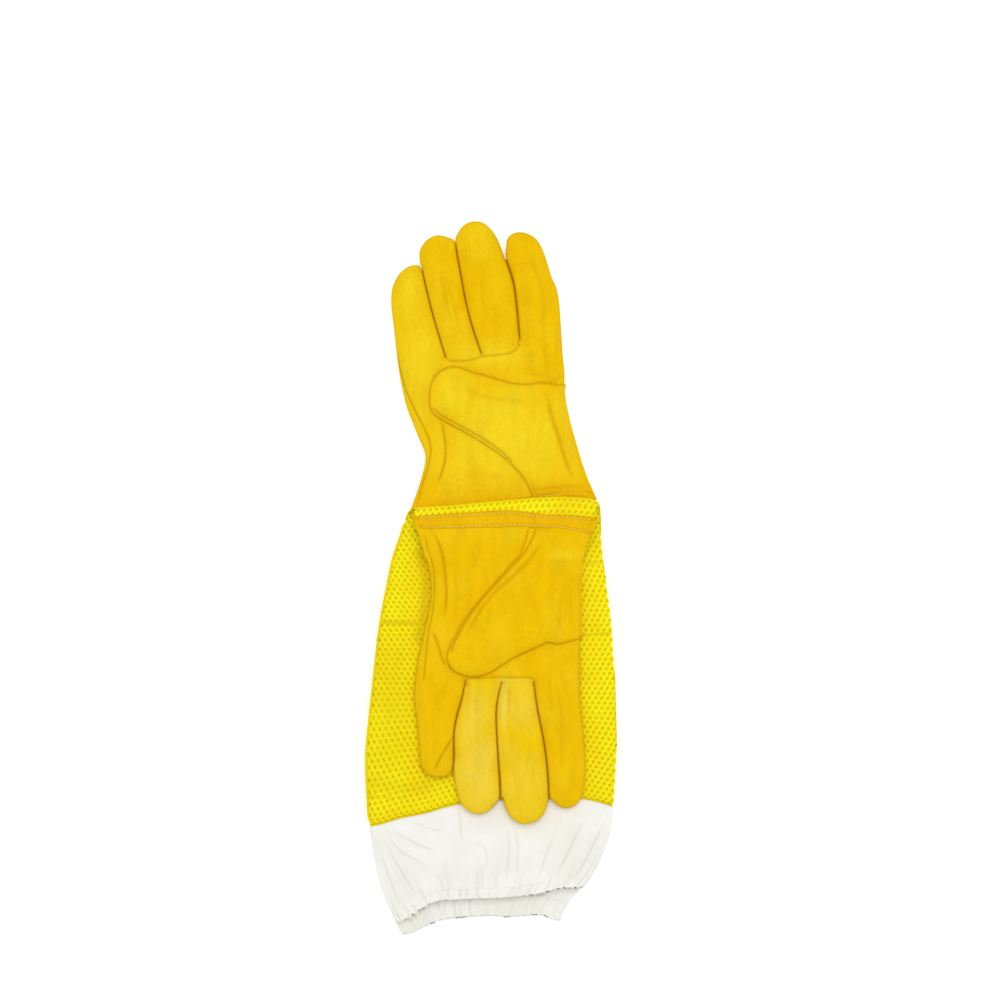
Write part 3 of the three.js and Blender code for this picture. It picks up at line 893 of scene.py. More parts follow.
def build_thumb(side, hand, outline, thumb, band, parent):
    """A folded thumb: a full front over a flat back, closed by the seam round its edge. Its end at the
    wrist lies under the band."""
    seam, base = smooth(thumb["seam"], 0.9), smooth(thumb["base"], 0.9)
    welt = smooth(thumb["welt"])
    flat, faces = fill(np.vstack([seam, base[1:-1]]), [welt] + [smooth(c[0]) for c in thumb["creases"]])
    x, y = flat.T
    from_seam, from_base, from_welt = (distance(flat, line) for line in (seam, base, welt))
    bed = hand_top(hand, outline, flat)
    share = np.clip((y - thumb["wrist_y"]) / (thumb["tip_y"] - thumb["wrist_y"]), 0, 1)
    full = (0.22 + 0.78 * smoothstep(share * 1.15)) * THUMB_FULLNESS
    free = 0.15 + 0.85 * smoothstep(hand["way"] * (y - at_x(smooth(band["low"]), x)) / 6)
    z = bed + free * (1.3 * rounded(from_seam + 0.25, 0.9)
                      + full * rounded(from_seam, 9) * rounded(from_base + 0.6, 17))
    z += (0.35 * noise(x, y, 17, 11) + 0.15 * noise(x, y, 6, 12)) * rounded(from_seam, 8)
    z += 0.16 * noise(x, y, 3.2, 13) * bell((from_seam - 2.5) / 1.6)
    depth, shade = carve(flat, thumb["creases"])
    z -= depth * rounded(from_seam, 4) + 0.85 * bell(from_welt / 0.6)
    # painted shade in the creases, along the welt and round the seam
    shade = np.maximum.reduce([shade, 0.65 * bell(from_welt / 0.65), 0.5 * bell(from_seam / 0.75)])
    under = np.minimum(bed + 0.45 + 0.3 * (1 - rounded(from_seam, 2)), z - 0.5)

    # the middle of its hinge and a point 15 mm inwards from it are worked out, and each piece's place is
    # baked into its mesh
    ends = np.array(thumb["hinge"])
    middle = ends.mean(0)
    inward = unit(ends[1] - ends[0])[::-1] * [1, -1]
    inward *= -np.sign(inward[0])
    start, end = (row(*(middle + inward * far), hand["z"] + HAND) for far in (0, 15))
    for face, height, wall, f in (("front", z, LEATHER, faces), ("back", under, THUMB_BACK, faces[:, ::-1])):
        verts = np.column_stack([x, y, height])
        v, f, n = thicken(verts, f, surface_normals(verts, f), wall)
        piece = new_piece(f"{side}_thumb_{face}_leather", v, f, GOLD, n, np.r_[shade, shade])
        declare(piece, f"{side}_thumb_{face}")
        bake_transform(piece)
        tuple(start)
        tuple(end)


# ---- tubes: sleeves, cuffs and hems -------------------------------------------------------------
ARM_LEFT = smooth([(-53, 66), (-55.5, 57), (-58.3, 50), (-61.3, 42.6), (-64.5, 31), (-68.2, 20.5),
                   (-71, 11), (-74, -4), (-78.8, -29), (-82.2, -55), (-85, -81),
                   (-87.8, -107), (-89.6, -128), (-89, -150), (-88, -168), (-86.6, -180), (-82.4, -206),
                   (-78.7, -221), (-73.6, -233), (-69.2, -243), (-66, -250), (-62.6, -257), (-58, -266)], 1.5)
ARM_RIGHT = smooth([(77, 66), (79.2, 48), (80.2, 23), (83.3, -3), (86.8, -29), (88.6, -55), (90, -81),
                    (90.7, -107), (90.9, -124), (89.6, -150), (88.4, -166), (87, -181), (82.2, -196),
                    (75.8, -210), (68.6, -221), (63.2, -227), (57.6, -232.4), (52.4, -239.5), (50.2, -248),
                    (49.6, -262)], 1.5)
SEAM = smooth([(-95, -179.6), (-80, -178), (-65, -173.6), (-54, -171.4), (-43, -168.8), (-25, -163.6),
               (0, -160.4), (30, -158.8), (60, -158.8), (79, -162), (95, -167)], 1.5)
RIGHT_HEM = smooth([(-90, -262), (-63, -256.6), (-57, -256), (-51, -252.8), (-43, -249.2), (-36, -246.4),
                    (-21.6, -244.4), (0, -243.2), (12, -244), (25, -243), (38, -242.8), (44, -245.6),
                    (50, -246.6), (70, -247)], 1.5)
LEFT_HEM = smooth([(-90, -252), (-66, -247.4), (-62, -246), (-55.4, -242), (-46.8, -236.4), (-36, -232.2),
                   (-22, -231.6), (-10.8, -230.8), (7.2, -230.4), (21.6, -229), (36, -227), (50, -223.4),
                   (64, -222.6), (90, -221)], 1.5)
TUBE_HEIGHT = SLEEVE - 1.6
FOLDED_HEIGHT = FOLDED - 1.2


def section(width, height, edge, count):
    """A flattened ring, as positions across and up, from its left edge over the top and back under."""
    quarter = count // 20
    flat = count // 2 - 2 * quarter
    angle = np.linspace(0, np.pi / 2, quarter, endpoint=False)
    rise_x, rise_z = edge * (1 - np.cos(angle)), np.sin(angle)
    flat_x = np.linspace(edge, 1 - edge, flat, endpoint=False)
    fall_x, fall_z = 1 - rise_x[::-1], rise_z[::-1]
    top_x = np.concatenate([rise_x, flat_x, [1 - edge], fall_x[:-1]])
    top_z = np.concatenate([rise_z, np.ones(flat + 1), fall_z[:-1]])
    across = np.concatenate([top_x, [1.0], top_x[1:][::-1]])
    up = np.concatenate([top_z, [0.0], -top_z[1:][::-1]])
    return across * width, up * height / 2


class Tube:
    """A flattened tube as a grid of points, rows along it and columns round it."""

    def __init__(self, rows, count=400):
        self.grid = []
        for left, right, height, place in rows:
            across, up = section(right - left, height, 9.5 / (right - left), count)
            self.grid.append(place(left + across, up))
        self.grid = np.array(self.grid)
        self.outward = 1.0
        self.update()
        first = self.grid[0] - self.grid[0].mean(0)
        self.outward = math.copysign(1.0, (self.normals[0] * first).sum())
        self.update()

    def update(self):
        round_step = np.roll(self.grid, -1, 1) - np.roll(self.grid, 1, 1)
        self.normals = unit(np.cross(np.gradient(self.grid, axis=0), round_step) * self.outward)

    def shares(self):
        """For each point, how far along the tube and how far round it is, from 0 to 1."""
        rows, columns = self.grid.shape[:2]
        return np.meshgrid(np.linspace(0, 1, rows), np.linspace(0, 1, columns, endpoint=False), indexing="ij")

    def faces(self, columns_kept=None, first_row=0, last_row=None):
        """Faces that look outwards, all round the tube or on some of its columns."""
        rows, columns = self.grid.shape[:2]
        kept = np.arange(columns) if columns_kept is None else columns_kept % columns
        i, j = np.meshgrid(np.arange(rows - 1)[first_row:last_row], kept, indexing="ij")
        k = (j + 1) % columns
        made = np.column_stack([(i * columns + j).ravel(), ((i + 1) * columns + j).ravel(),
                                ((i + 1) * columns + k).ravel(), (i * columns + k).ravel()])
        return made if self.outward > 0 else made[:, ::-1]

    def piece(self, name, wall, material, offset=0.0, crease=None, columns_kept=None, first_row=0,
              last_row=None):
        verts = (self.grid + self.normals * offset).reshape(-1, 3)
        faces = self.faces(columns_kept, first_row, last_row)
        shade = np.zeros(len(verts)) if crease is None else crease.ravel()
        normals = surface_normals(verts, faces)
        v, f, n, shade = part_of(verts, faces, normals, slice(None), (shade,))
        v, f, n = thicken(v, f, n, wall)
        return new_piece(name, v, f, material, n, np.r_[shade, shade])


def level_place(y, z, height):
    """Places a row along y, which is one height or a curve's heights for each x."""
    def place(x, up):
        return np.column_stack([x, y(x), z + height / 2 + up])
    return place


def sleeve_row(y0, z, height, bend_share=0.0):
    """A row of the sleeve at y0 in the middle. Near the cuff it follows the cuff's seam, and near the
    fold it follows the fold."""
    near_cuff = 1 - smoothstep((y0 + 162) / 90)

    def row_y(x):
        return (y0 + near_cuff * (at_x(SEAM, x) - at_x(SEAM, 0.0))
                + bend_share * (fold_y(x) - fold_y(0.0)))
    left = side_x(ARM_LEFT, row_y(side_x(ARM_LEFT, y0)))
    right = side_x(ARM_RIGHT, row_y(side_x(ARM_RIGHT, y0)))
    return left, right, height, level_place(row_y, z, height)


def sleeve_start():
    return at_x(SEAM, 0.0) - 1.4


def right_sleeve_tube():
    rows = []
    for y in np.arange(sleeve_start(), 49.5, SLEEVE_STEP):
        left, right, height, place = sleeve_row(y, RIGHT_Z + LINING, TUBE_HEIGHT)
        rows.append((left + 0.6, right - 0.6, height, place))
    return Tube(rows)


def bent(angle):
    """Places a row at an angle round the fold."""
    def place(x, up):
        r = FOLD_MIDDLE - up
        return np.column_stack([x, fold_y(x) + r * math.cos(angle), FOLD_Z + r * math.sin(angle)])
    return place


def past_fold(back):
    """Places a row on the upper side of the fold, some way back from it."""
    def place(x, up):
        return np.column_stack([x, fold_y(x) - back, FOLD_Z + FOLD_MIDDLE - up])
    return place


def left_sleeve_tube(hand_ring):
    rows = []
    end = float(fold_y(0.0))
    for y in np.arange(sleeve_start(), end - 0.5, SLEEVE_STEP):
        squeeze = smoothstep((y + 12) / (end - 4 + 12))
        height = TUBE_HEIGHT * (1 - squeeze) + FOLDED_HEIGHT * squeeze
        rows.append(sleeve_row(y, LEFT_SLEEVE_Z + LINING - 0.2 * squeeze, height, smoothstep((y + 40) / 84)))
    turn = np.array([-90, 0, 90])
    lefts = np.array([side_x(ARM_LEFT, end), -57.2, -53.4])
    rights = np.array([side_x(ARM_RIGHT, end), 77.8, 76.4])
    for angle in np.arange(-90.0, 90.5, 7.5):
        rows.append((np.interp(angle, turn, lefts), np.interp(angle, turn, rights), FOLDED_HEIGHT,
                     bent(math.radians(angle))))
    for back in np.arange(1.2, 9.5, 1.2):
        rows.append((-53.4 + 0.12 * back, 76.4 - 0.25 * back, FOLDED_HEIGHT - 0.16 * back, past_fold(back)))
    tube = Tube(rows)
    ripple(tube, hand_ring, 22)
    return tube


def ripple(tube, hand_ring, seed):
    """Soft unevenness of laid cloth beside the hand, and the packing crease across the sleeve."""
    x, y = tube.grid[..., 0], tube.grid[..., 1]
    flat = np.column_stack([x.ravel(), y.ravel()])
    off_hand = distance(flat, closed(hand_ring))
    beside_hand = np.where(inside(flat, hand_ring), 0, off_hand).reshape(x.shape)
    free = smoothstep((beside_hand - 1) / 9) * smoothstep((30 - y) / 26)
    free *= smoothstep((y - at_x(SEAM, x) - 3) / 9)
    top = tube.normals[..., 2] > 0.25
    lift = 0.45 * noise(x, y, 30, seed) + 0.28 * noise(x, y, 12, seed + 1)
    crossing = -40.5 + 0.05 * x
    lift -= 0.9 * bell((y - crossing) / 1.5) - 0.35 * bell((y - crossing - 4) / 2.2)
    lift -= 0.5 * bell((y + 12 + 0.1 * x) / 3.0) * smoothstep((-60 - x) / 8)
    tube.grid[..., 2] += np.where(top, lift * free, 0)
    tube.update()


def net_cell(width, height):
    """The corners of one cell of the mesh, a hexagon taller than it is wide."""
    side = (width**2 / 4 + height**2) / (2 * height)
    corner = side - width**2 / (4 * height)
    return np.array([(0, side), (width / 2, corner), (width / 2, -corner), (0, -side),
                     (-width / 2, -corner), (-width / 2, corner)])


def surface_at(tube, u, v):
    """Points and normals on a tube at u round it from its right edge, positive over the top, and v
    along it. Also the room left to its left edge, and the tube's length."""
    g = tube.grid
    rows, columns = g.shape[:2]
    half = columns // 2
    steps = np.linalg.norm(np.roll(g, -1, 1) - g, axis=2)
    over = np.concatenate([np.zeros((rows, 1)), np.cumsum(steps[:, :half][:, ::-1], 1)], 1)
    under = np.concatenate([np.zeros((rows, 1)), np.cumsum(steps[:, half:], 1)], 1)
    along = lengths_along(g[:, columns // 4])
    r = np.clip(np.interp(v, along, np.arange(rows)), 0, rows - 1.001)
    i = r.astype(int)
    t = (r - i)[:, None]
    points, normals = [], []
    room = np.empty(len(u))
    for step in (0, 1):
        column = np.empty(len(u))
        for row_number in np.unique(i + step):
            chosen = np.nonzero(i + step == row_number)[0]
            up = u[chosen]
            above = half - np.interp(up, over[row_number], np.arange(half + 1))
            below = half + np.interp(-up, under[row_number], np.arange(columns - half + 1))
            column[chosen] = np.where(up >= 0, above, below)
            if step == 0:
                room[chosen] = np.where(up >= 0, over[row_number][-1], under[row_number][-1]) - np.abs(up)
        c = np.floor(column).astype(int)
        s = (column - c)[:, None]
        for array, out in ((g, points), (tube.normals, normals)):
            out.append(array[i + step, c % columns] * (1 - s) + array[i + step, (c + 1) % columns] * s)
    points = points[0] * (1 - t) + points[1] * t
    normals = normals[0] * (1 - t) + normals[1] * t
    return points, unit(normals), room, along[-1]


# Creases across the sleeves and the left hand's shadow beside it, as painted shade on the mesh, and two broad
# darker patches of it: line, darkness and width.
SLEEVE_CREASES = [
    ([(-92, -31), (-70, -32), (-44, -33)], 0.65, 1.7),
    ([(60, -41.5), (76, -40.5), (94, -39)], 0.6, 1.2),
    ([(62, 10), (74, 11), (88, 13)], 0.45, 1.3),
    ([(-94, -157), (-80, -158), (-60, -159)], 0.45, 1.2),
    ([(-84, -148), (-64, -152), (-46, -150)], 0.35, 6.0),
    ([(-70, -60), (-74, -90), (-76, -120)], 0.25, 16.0),
    ([(-51, 18), (-48, 8), (-46.5, -6), (-48, -24), (-52, -44)], 0.65, 3.6),
]


def build_net(name, tube):
    """The holed outer layer: a cord along each side of every cell, sloping down into its hole."""
    cell = net_cell(NET_WIDTH, NET_ROW)
    length = surface_at(tube, np.zeros(1), np.zeros(1))[3]
    count_j, count_i = int(length / NET_ROW), int(190 / NET_WIDTH)
    j, i = np.mgrid[0:count_j + 1, -count_i:count_i + 1]
    centre = np.column_stack([((i + 0.5 * (j % 2)) * NET_WIDTH).ravel(), ((j + 0.5) * NET_ROW).ravel()])
    room = surface_at(tube, centre[:, 0], centre[:, 1])[2]
    centre = centre[(room > 0.6) & (centre[:, 1] > NET_ROW) & (centre[:, 1] < length - 1)]
    n = len(centre)
    corners = (centre[:, None] + cell).reshape(-1, 2)
    keys = np.round(corners * 50).astype(np.int64)
    _, first, back = np.unique(keys, axis=0, return_index=True, return_inverse=True)
    corners = corners[first]
    corner_ids = back.reshape(n, 6)
    size = NET_HOLE + 0.05 * noise(centre[:, 0], centre[:, 1], 9, 51)
    lean = 0.6 * np.tanh(surface_at(tube, centre[:, 0], centre[:, 1])[0][:, 0] / 30)
    crest = (centre[:, None] + cell * NET_CREST).reshape(-1, 2)
    slit = cell * NET_HOLE_STRETCH * size[:, None, None]
    slit[..., 0] -= slit[..., 1] * lean[:, None]
    hole = (centre[:, None] + slit).reshape(-1, 2)
    flat = np.vstack([corners, crest, hole])
    cord = CORD_TOP + random.uniform(-0.08, 0.08, len(corners))
    lift = np.r_[cord, np.full(6 * n, CORD_SHOULDER), np.full(6 * n, CORD_FOOT)]
    # the slopes into each hole get painted shade, darkest at its foot
    shade = np.r_[np.zeros(len(corners)), np.full(6 * n, 0.05), np.full(6 * n, 0.5)]
    points, normals, _, _ = surface_at(tube, flat[:, 0], flat[:, 1])
    # painted shade of the sleeves' creases and the hand's shadow, on the top only
    for line, dark, width in SLEEVE_CREASES:
        near = dark * bell(distance(points[:, :2], smooth(line)) / width)
        shade = np.maximum(shade, np.where(normals[:, 2] > 0, near, 0))
    verts = points + normals * lift[:, None]
    crest_ids = len(corners) + np.arange(6 * n).reshape(n, 6)
    hole_ids = crest_ids + 6 * n
    faces = []
    for a, b in ((corner_ids, crest_ids), (crest_ids, hole_ids)):
        for k in range(6):
            m = (k + 1) % 6
            faces.append(np.column_stack([a[:, k], a[:, m], b[:, m], b[:, k]]))
    faces = np.vstack(faces)
    if (surface_normals(verts, faces) * normals).sum() < 0:
        faces = faces[:, ::-1]
    return new_piece(name, verts, faces, NET, crease=shade)


def cloth_tube(z, height, top, bottom, rows, top_height, inset, count=720):
    """A cuff tube whose rows run from one curve across the glove to another."""
    made = []
    for share in np.linspace(0, 1, rows):
        def row_y(x, share=share):
            return (1 - share) * at_x(top, x) + share * at_x(bottom, x)
        left, right = -80.0, 80.0
        for _ in range(4):
            left, right = side_x(ARM_LEFT, row_y(left)), side_x(ARM_RIGHT, row_y(right))
        tall = top_height + (height - top_height) * smoothstep((share - 0.6) / 0.4)
        made.append((left + inset, right - inset, tall, level_place(row_y, z, tall)))
    return Tube(made, count)


def settle(tube, lowest, under):
    """Keeps a tube above a height, and under what lies on it."""
    x, y, z = np.moveaxis(tube.grid, 2, 0)
    tube.grid[..., 2] = under(x, y, np.maximum(z, lowest))
    tube.update()


def pleats(around, share, seed, waves_and_heights):
    """Waves round a gathered tube, which wander a little. around is from 0 to 1."""
    total = 0
    for waves, height, start, phase in waves_and_heights:
        drift = 1.1 * noise(around * 60, share * 2.5, 2.0, seed + waves)
        swell = 0.75 + 0.35 * noise(around * 30, share * 2, 2.0, seed + 2 * waves)
        wave = np.sin(waves * 2 * np.pi * around + phase + drift)
        total = total + height * swell * wave * smoothstep((share - start) / (1 - start))
    return total


def gathers(tube, seed, creases):
    """Folds that run from the gathered hem up into the cuff, and laid-in creases on its top. Returns
    their shade."""
    share, around = tube.shares()
    wave = pleats(around, share, seed, ((17, 0.34, 0.0, 0.3), (29, 0.42, 0.25, 1.7), (47, 0.42, 0.5, 4.0),
                                        (71, 0.34, 0.7, 2.2)))
    x, y = tube.grid[..., 0], tube.grid[..., 1]
    lift = wave + 0.35 * noise(x, y, 22, seed) * (1 - smoothstep((share - 0.3) / 0.5))
    flat = np.column_stack([x.ravel(), y.ravel()])
    laid, shade = np.zeros(len(flat)), np.zeros(len(flat))
    for line, height, width in creases:
        line = smooth(line, 2.0)
        d, place = nearest(flat, line)
        here = height * fading(place, 0.35)
        laid += here * (bell(d / width) - 0.5 * bell((d - 1.8 * width) / width))
        # painted shadow along one side of each laid-in crease
        foot = distance(flat, line + normals_2d(line) * 1.3 * width)
        shade = np.maximum(shade, 1.3 * here * bell(foot / 0.8))
    top = tube.normals[..., 2] > 0.2
    lift = lift + np.where(top, laid.reshape(x.shape), 0)
    tube.grid += tube.normals * lift[..., None]
    tube.update()
    # painted shade in the valleys of the waves
    return np.maximum(np.where(top, shade.reshape(x.shape), 0), np.clip(-0.55 * wave - 0.14, 0, 0.55))


def lifted(line, up):
    return line + np.array([0, up])


def build_cuff(side, z, hem, channel, body, seed, creases, lowest, under):
    """Cotton cuff, its gathered hem with the elastic channel, and the elastic inside. Returns the hem."""
    channel_line = lifted(hem, channel)
    cuff = cloth_tube(z, 8.2, lifted(SEAM, 0.3), lifted(channel_line, -0.8), CUFF_ROWS, SLEEVE, -0.3)
    shade = gathers(cuff, seed, creases)
    settle(cuff, lowest, under)
    # the first two rows turn down onto the mesh, as a sewn edge does
    cuff.grid[:2] -= cuff.normals[:2] * np.array([1.3, 0.45])[:, None, None]
    cuff.update()
    cotton = cuff.piece(f"{side}_cuff_cotton", COTTON, CANVAS, 0.0, shade)
    declare(cotton, f"{side}_canvas_cuff", body)

    tube = cloth_tube(z, HEM - 1.2, channel_line, hem, HEM_ROWS, SLEEVE, 0.2)
    share, around = tube.shares()
    x = tube.grid[..., 0]
    full = smoothstep((x + 56) / 16) * smoothstep((64 - x) / 14) if side == "left" else 1.0
    puff = np.sin(np.pi * share) ** 0.5
    pleat = pleats(around, share * 0.3 + 1, seed + 5, ((71, 0.44, 0.0, 2.2), (47, 0.42, 0.0, 4.0),
                                                      (113, 0.25, 0.0, 1.0)))
    lift = 0.9 * puff * full + pleat * (0.5 + 0.5 * puff) + 0.2 * full
    tube.grid += tube.normals * lift[..., None]
    # it starts at the cuff's last row, and its lower lip is a little further out than its upper one
    join = cuff.grid[-1, :, 2] + 0.25 * np.sign(tube.normals[0, :, 2]) - tube.grid[0, :, 2]
    tube.grid[..., 2] += join * (1 - smoothstep(share / 0.3))
    below = tube.normals[..., 2] < -0.2
    tube.grid[..., 1] += (0.7 * pleat - 0.8 * below) * smoothstep((share - 0.75) / 0.25)
    tube.update()
    settle(tube, lowest, under)
    # painted shade in the pleats' valleys and along the channel's upper edge
    shade = np.clip(-0.75 * pleat - 0.12 + 0.25 * bell(share / 0.07) * full, 0, 0.5)
    casing = tube.piece(f"{side}_hem_channel", HEM_WALL, CANVAS, 0.0, shade)
    declare(casing, f"{side}_hem_casing", body)

    band = cloth_tube(z, HEM - 1.2, lifted(hem, 6.0), lifted(hem, 1.6), 8, HEM - 2.4, 1.2, 240)
    braid = band.piece(f"{side}_elastic_braid", ELASTIC_WALL, ELASTIC, -1.0)
    declare(braid, f"{side}_cuff_elastic", body)
    return tube


# ---- stitches -----------------------------------------------------------------------------------
def stitch_mesh(length, radius, sides=8, rings=7):
    """One stitch lying along x: a thread that dives at both ends. Returns its sides and its end caps."""
    verts = []
    for t in np.linspace(-1, 1, rings):
        r = radius * math.sqrt(max(0.0, 1 - t**4)) + 0.02
        for a in np.arange(sides) * 2 * math.pi / sides:
            verts.append((t * length / 2, r * math.cos(a), r * math.sin(a) - 0.8 * radius * t**4))
    k, s = (grid.ravel() for grid in np.mgrid[0:rings - 1, 0:sides])
    m = (s + 1) % sides
    faces = np.column_stack([(k + 1) * sides + s, (k + 1) * sides + m, k * sides + m, k * sides + s])
    first, last = np.arange(sides), np.arange(sides)[::-1] + (rings - 1) * sides
    return np.array(verts), faces, np.array([first, last])


def stitch_row(name, line, normals, material, length=2.5, pitch=3.1, radius=0.28, shows=None):
    """A row of stitches along a line of 3-D points with the surface's normals. shows says, for a
    distance along the line, whether there is a stitch."""
    lengths = lengths_along(line)
    places = np.arange(pitch / 2, lengths[-1] - pitch / 2, pitch)
    places = [at for at in places if shows is None or shows(at)]
    stitch, sides, ends = stitch_mesh(length, radius)
    verts, faces, caps = [], [], []
    for k, at in enumerate(places):
        point = at_length(line, lengths, at)
        along = unit(at_length(line, lengths, at + 0.6) - point)
        up = at_length(normals, lengths, at)
        up = unit(up - along * up.dot(along))
        basis = np.array([along, np.cross(up, along), up])
        jitter = 1 + random.uniform(-0.06, 0.06)
        verts.append(stitch * [jitter, 1, 1] @ basis + point + up * radius * 0.35)
        faces.append(sides + k * len(stitch))
        caps.append(ends + k * len(stitch))
    return new_piece(name, np.vstack(verts), [np.vstack(faces), np.vstack(caps)], material)


# ---- hem bands ----------------------------------------------------------------------------------
LEFT_BAND = {
    "edge": [(-53.6, 44.4), (-40, 45.6), (-26.2, 46.7), (2.7, 48.5), (17.1, 48.9), (27.7, 47.5), (41.3, 45.9),
             (60.5, 44.9), (78, 43.2)],
    "low": [(-50.8, 36.2), (-40.7, 35.5), (-16.6, 36.1), (2.7, 36.6), (22, 36.9), (41.3, 36.1), (55.7, 34.7),
            (73.6, 31.4)],
    "rows": [[(-52.8, 43.1), (-40.7, 44.1), (-16, 45.4), (2.7, 46.6), (19.1, 46.6), (30, 45.2), (43.2, 44.2),
              (60.5, 43.6), (77, 41.8)],
             [(-50.9, 37.6), (-40.7, 36.8), (-16.6, 37.4), (2.7, 37.9), (22, 38.2), (41.3, 37.4),
              (55.7, 36), (74.1, 32.7)]],
    "ridge": [(35.5, 50), (34, 43), (31.4, 34)],
}
RIGHT_BAND = {
    "edge": [(-61.4, 36), (-30, 38.6), (0, 42.6), (40, 48), (79.6, 50)],
    "low": [(-58, 47), (-30, 49.6), (0, 54), (30, 59.2), (45, 61.6), (60, 62.6), (72.4, 62.9)],
    "rows": [[(-60.6, 38), (-30, 40.6), (0, 44.6), (40, 50), (79, 52)],
             [(-58.4, 45.4), (-30, 48), (0, 52.4), (30, 57.6), (45, 60), (60, 61), (73, 61.3)]],
    "ridge": [(34, 64), (36, 56), (38, 46)],
}


def build_band(side, hand, band, body):
    """The leather strip round the hem, front and back, with two rows of topstitching."""
    edge, low = smooth(band["edge"], 0.9), smooth(band["low"], 0.9)
    far_end = resample(np.array([edge[-1], low[-1]]), 0.9)[1:-1]
    near_end = resample(np.array([low[0], edge[0]]), 0.9)[1:-1]
    rows = [smooth(r) for r in band["rows"]]
    flat, faces = fill(np.vstack([edge, far_end, low[::-1], near_end]), rows, 1.3)
    x, y = flat.T
    bottom, top = hand_heights(hand, x, y)
    middle = (bottom + top) / 2
    from_ends = np.minimum(*[distance(flat, np.array([edge[k], low[k]])) for k in (0, -1)])
    from_edge = np.minimum(distance(flat, edge), distance(flat, low))
    row_depth = sum(bell(distance(flat, r) / 0.8) for r in rows)
    loose = 0.22 * noise(x, y, 5, 31) + 0.9 * bell(distance(flat, smooth(band["ridge"])) / 2.2)
    puff = rounded(from_ends + 0.8, PALM_ROUND)
    thick = 0.8 * rounded(from_edge + 0.15, 1.0) - 0.45 * row_depth
    front = middle + (top - middle) * puff + thick + loose
    back = middle + (bottom - middle) * puff - thick
    if side == "right":
        back = np.maximum(back, 0.15)
    verts = np.vstack([np.column_stack([x, y, z]) for z in (front, back)])
    both = np.vstack([faces, faces[:, ::-1] + len(flat)])
    normals = surface_normals(verts, both)
    v, f, n = thicken(verts, both, normals, BAND_WALL)
    # painted shade along the sunken stitch rows and the band's edges
    shade = np.clip(0.4 * row_depth + 0.3 * bell(from_edge / 0.6), 0, 0.6)
    piece = new_piece(f"{side}_hem_band_leather", v, f, BAND, n, np.tile(shade, 4))
    declare(piece, f"{side}_hem_band", body)
    for number, line in enumerate(rows):
        line = line[2:-2]
        closest = np.array([np.argmin(((flat - p) ** 2).sum(1)) for p in line])
        for face, at in (("front", closest), ("back", closest + len(flat))):
            points = np.column_stack([line, verts[at, 2]])
            name = f"{side}_hem_topstitch_{face}_{number + 1}"
            declare(stitch_row(name, points, normals[at], PALE_THREAD), body=body)


# ---- building -----------------------------------------------------------------------------------
def build_sleeve(side, tube, last_row):
    """The knitted net, the backing under it, and the stitched tape over the seam on the left edge."""
    name = f"{side}_sleeve_"
    net = build_net(name + "net", tube)
    backing = tube.piece(name + "backing", LINING, BACKING, -0.4)
    tape = tube.piece(name + "seam_tape", TAPE_WALL, TAPE, TAPE_OFF, None, np.arange(-7, 7), 4, last_row)
    line, up = tube.grid[3:last_row, 5], tube.normals[3:last_row, 5]
    line = line + up * TAPE_OFF
    threads = stitch_row(name + "seam_stitches", line, up, YELLOW_THREAD, 2.0, 2.8, 0.22)
    for piece in (net, backing, tape):
        declare(piece, f"{side}_mesh_sleeve")
    declare(threads)
    return net, backing, tape, threads


outlines = {}
for side, hand, thumb, band, body in (("right", RIGHT, RIGHT_THUMB, RIGHT_BAND, "right_glove"),
                                      ("left", LEFT, LEFT_THUMB, LEFT_BAND, "left_hand")):
    outlines[side] = build_hand(side, hand, body)
    build_thumb(side, hand, outlines[side], thumb, band, body)
    build_band(side, hand, band, body)

pieces = build_sleeve("right", right_sleeve_tube(), -8)
for piece in pieces:
    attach(piece, "right_glove")

# The left sleeve's pieces also stand in for its fold, and their places are baked into their meshes.
pieces = build_sleeve("left", left_sleeve_tube(outlines["left"]), 137)
for piece in pieces[:3]:
    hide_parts("left_sleeve_fold")
for piece in pieces:
    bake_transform(piece)

LEFT_CREASES = [
    ([(-74, -181), (-64, -187.4), (-52, -193.6), (-36, -200)], 0.42, 1.3),
    ([(-77, -184), (-67.3, -196.5), (-55, -204.5), (-42, -212)], 0.42, 1.4),
    ([(-79, -188), (-70.7, -203.1), (-62.7, -217), (-52, -234)], 0.42, 1.5),
    ([(-82.5, -192), (-77.4, -207.5), (-72.1, -222.8), (-65, -243)], 0.4, 1.4),
    ([(-60, -176), (-46, -182), (-30, -186)], 0.2, 1.6),
    ([(10.6, -176), (12.2, -192), (11.4, -206), (9, -222)], 0.3, 1.2),
    ([(16, -176), (18.4, -196), (16.6, -216)], 0.3, 1.3),
    ([(-18, -193), (-9, -192.6), (-4, -199), (-3.5, -213)], 0.22, 1.2),
    ([(69, -168), (60.4, -184.8), (54.4, -198), (48.5, -209.9), (45, -222)], 0.42, 1.3),
    ([(83, -170), (75.9, -184.8), (68.8, -199.2), (61.6, -211.9), (55, -222)], 0.42, 1.4),
    ([(46, -180), (38.5, -200), (33, -218)], 0.34, 1.3),
    ([(-24, -162), (-23, -178), (-22, -194)], 0.28, 1.3),
    ([(-8, -205), (-7, -214), (-8, -226)], 0.3, 1.1),
    ([(-40, -212), (-36, -220), (-35, -230)], 0.3, 1.1),
]


def under_left_glove(x, y, z):
    """The right cuff's highest points: it lies under the left glove down to the left hem."""
    return np.minimum(z, LEFT_SLEEVE_Z - 0.25 + 0.8 * np.maximum(at_x(LEFT_HEM, x) - 0.3 - y, 0))


def under_left_hand(x, y, z):
    """The left cuff's highest points: the fingertips lie on its top."""
    return np.where(y > -180, np.minimum(z, LEFT_HAND_Z - 0.15), z)


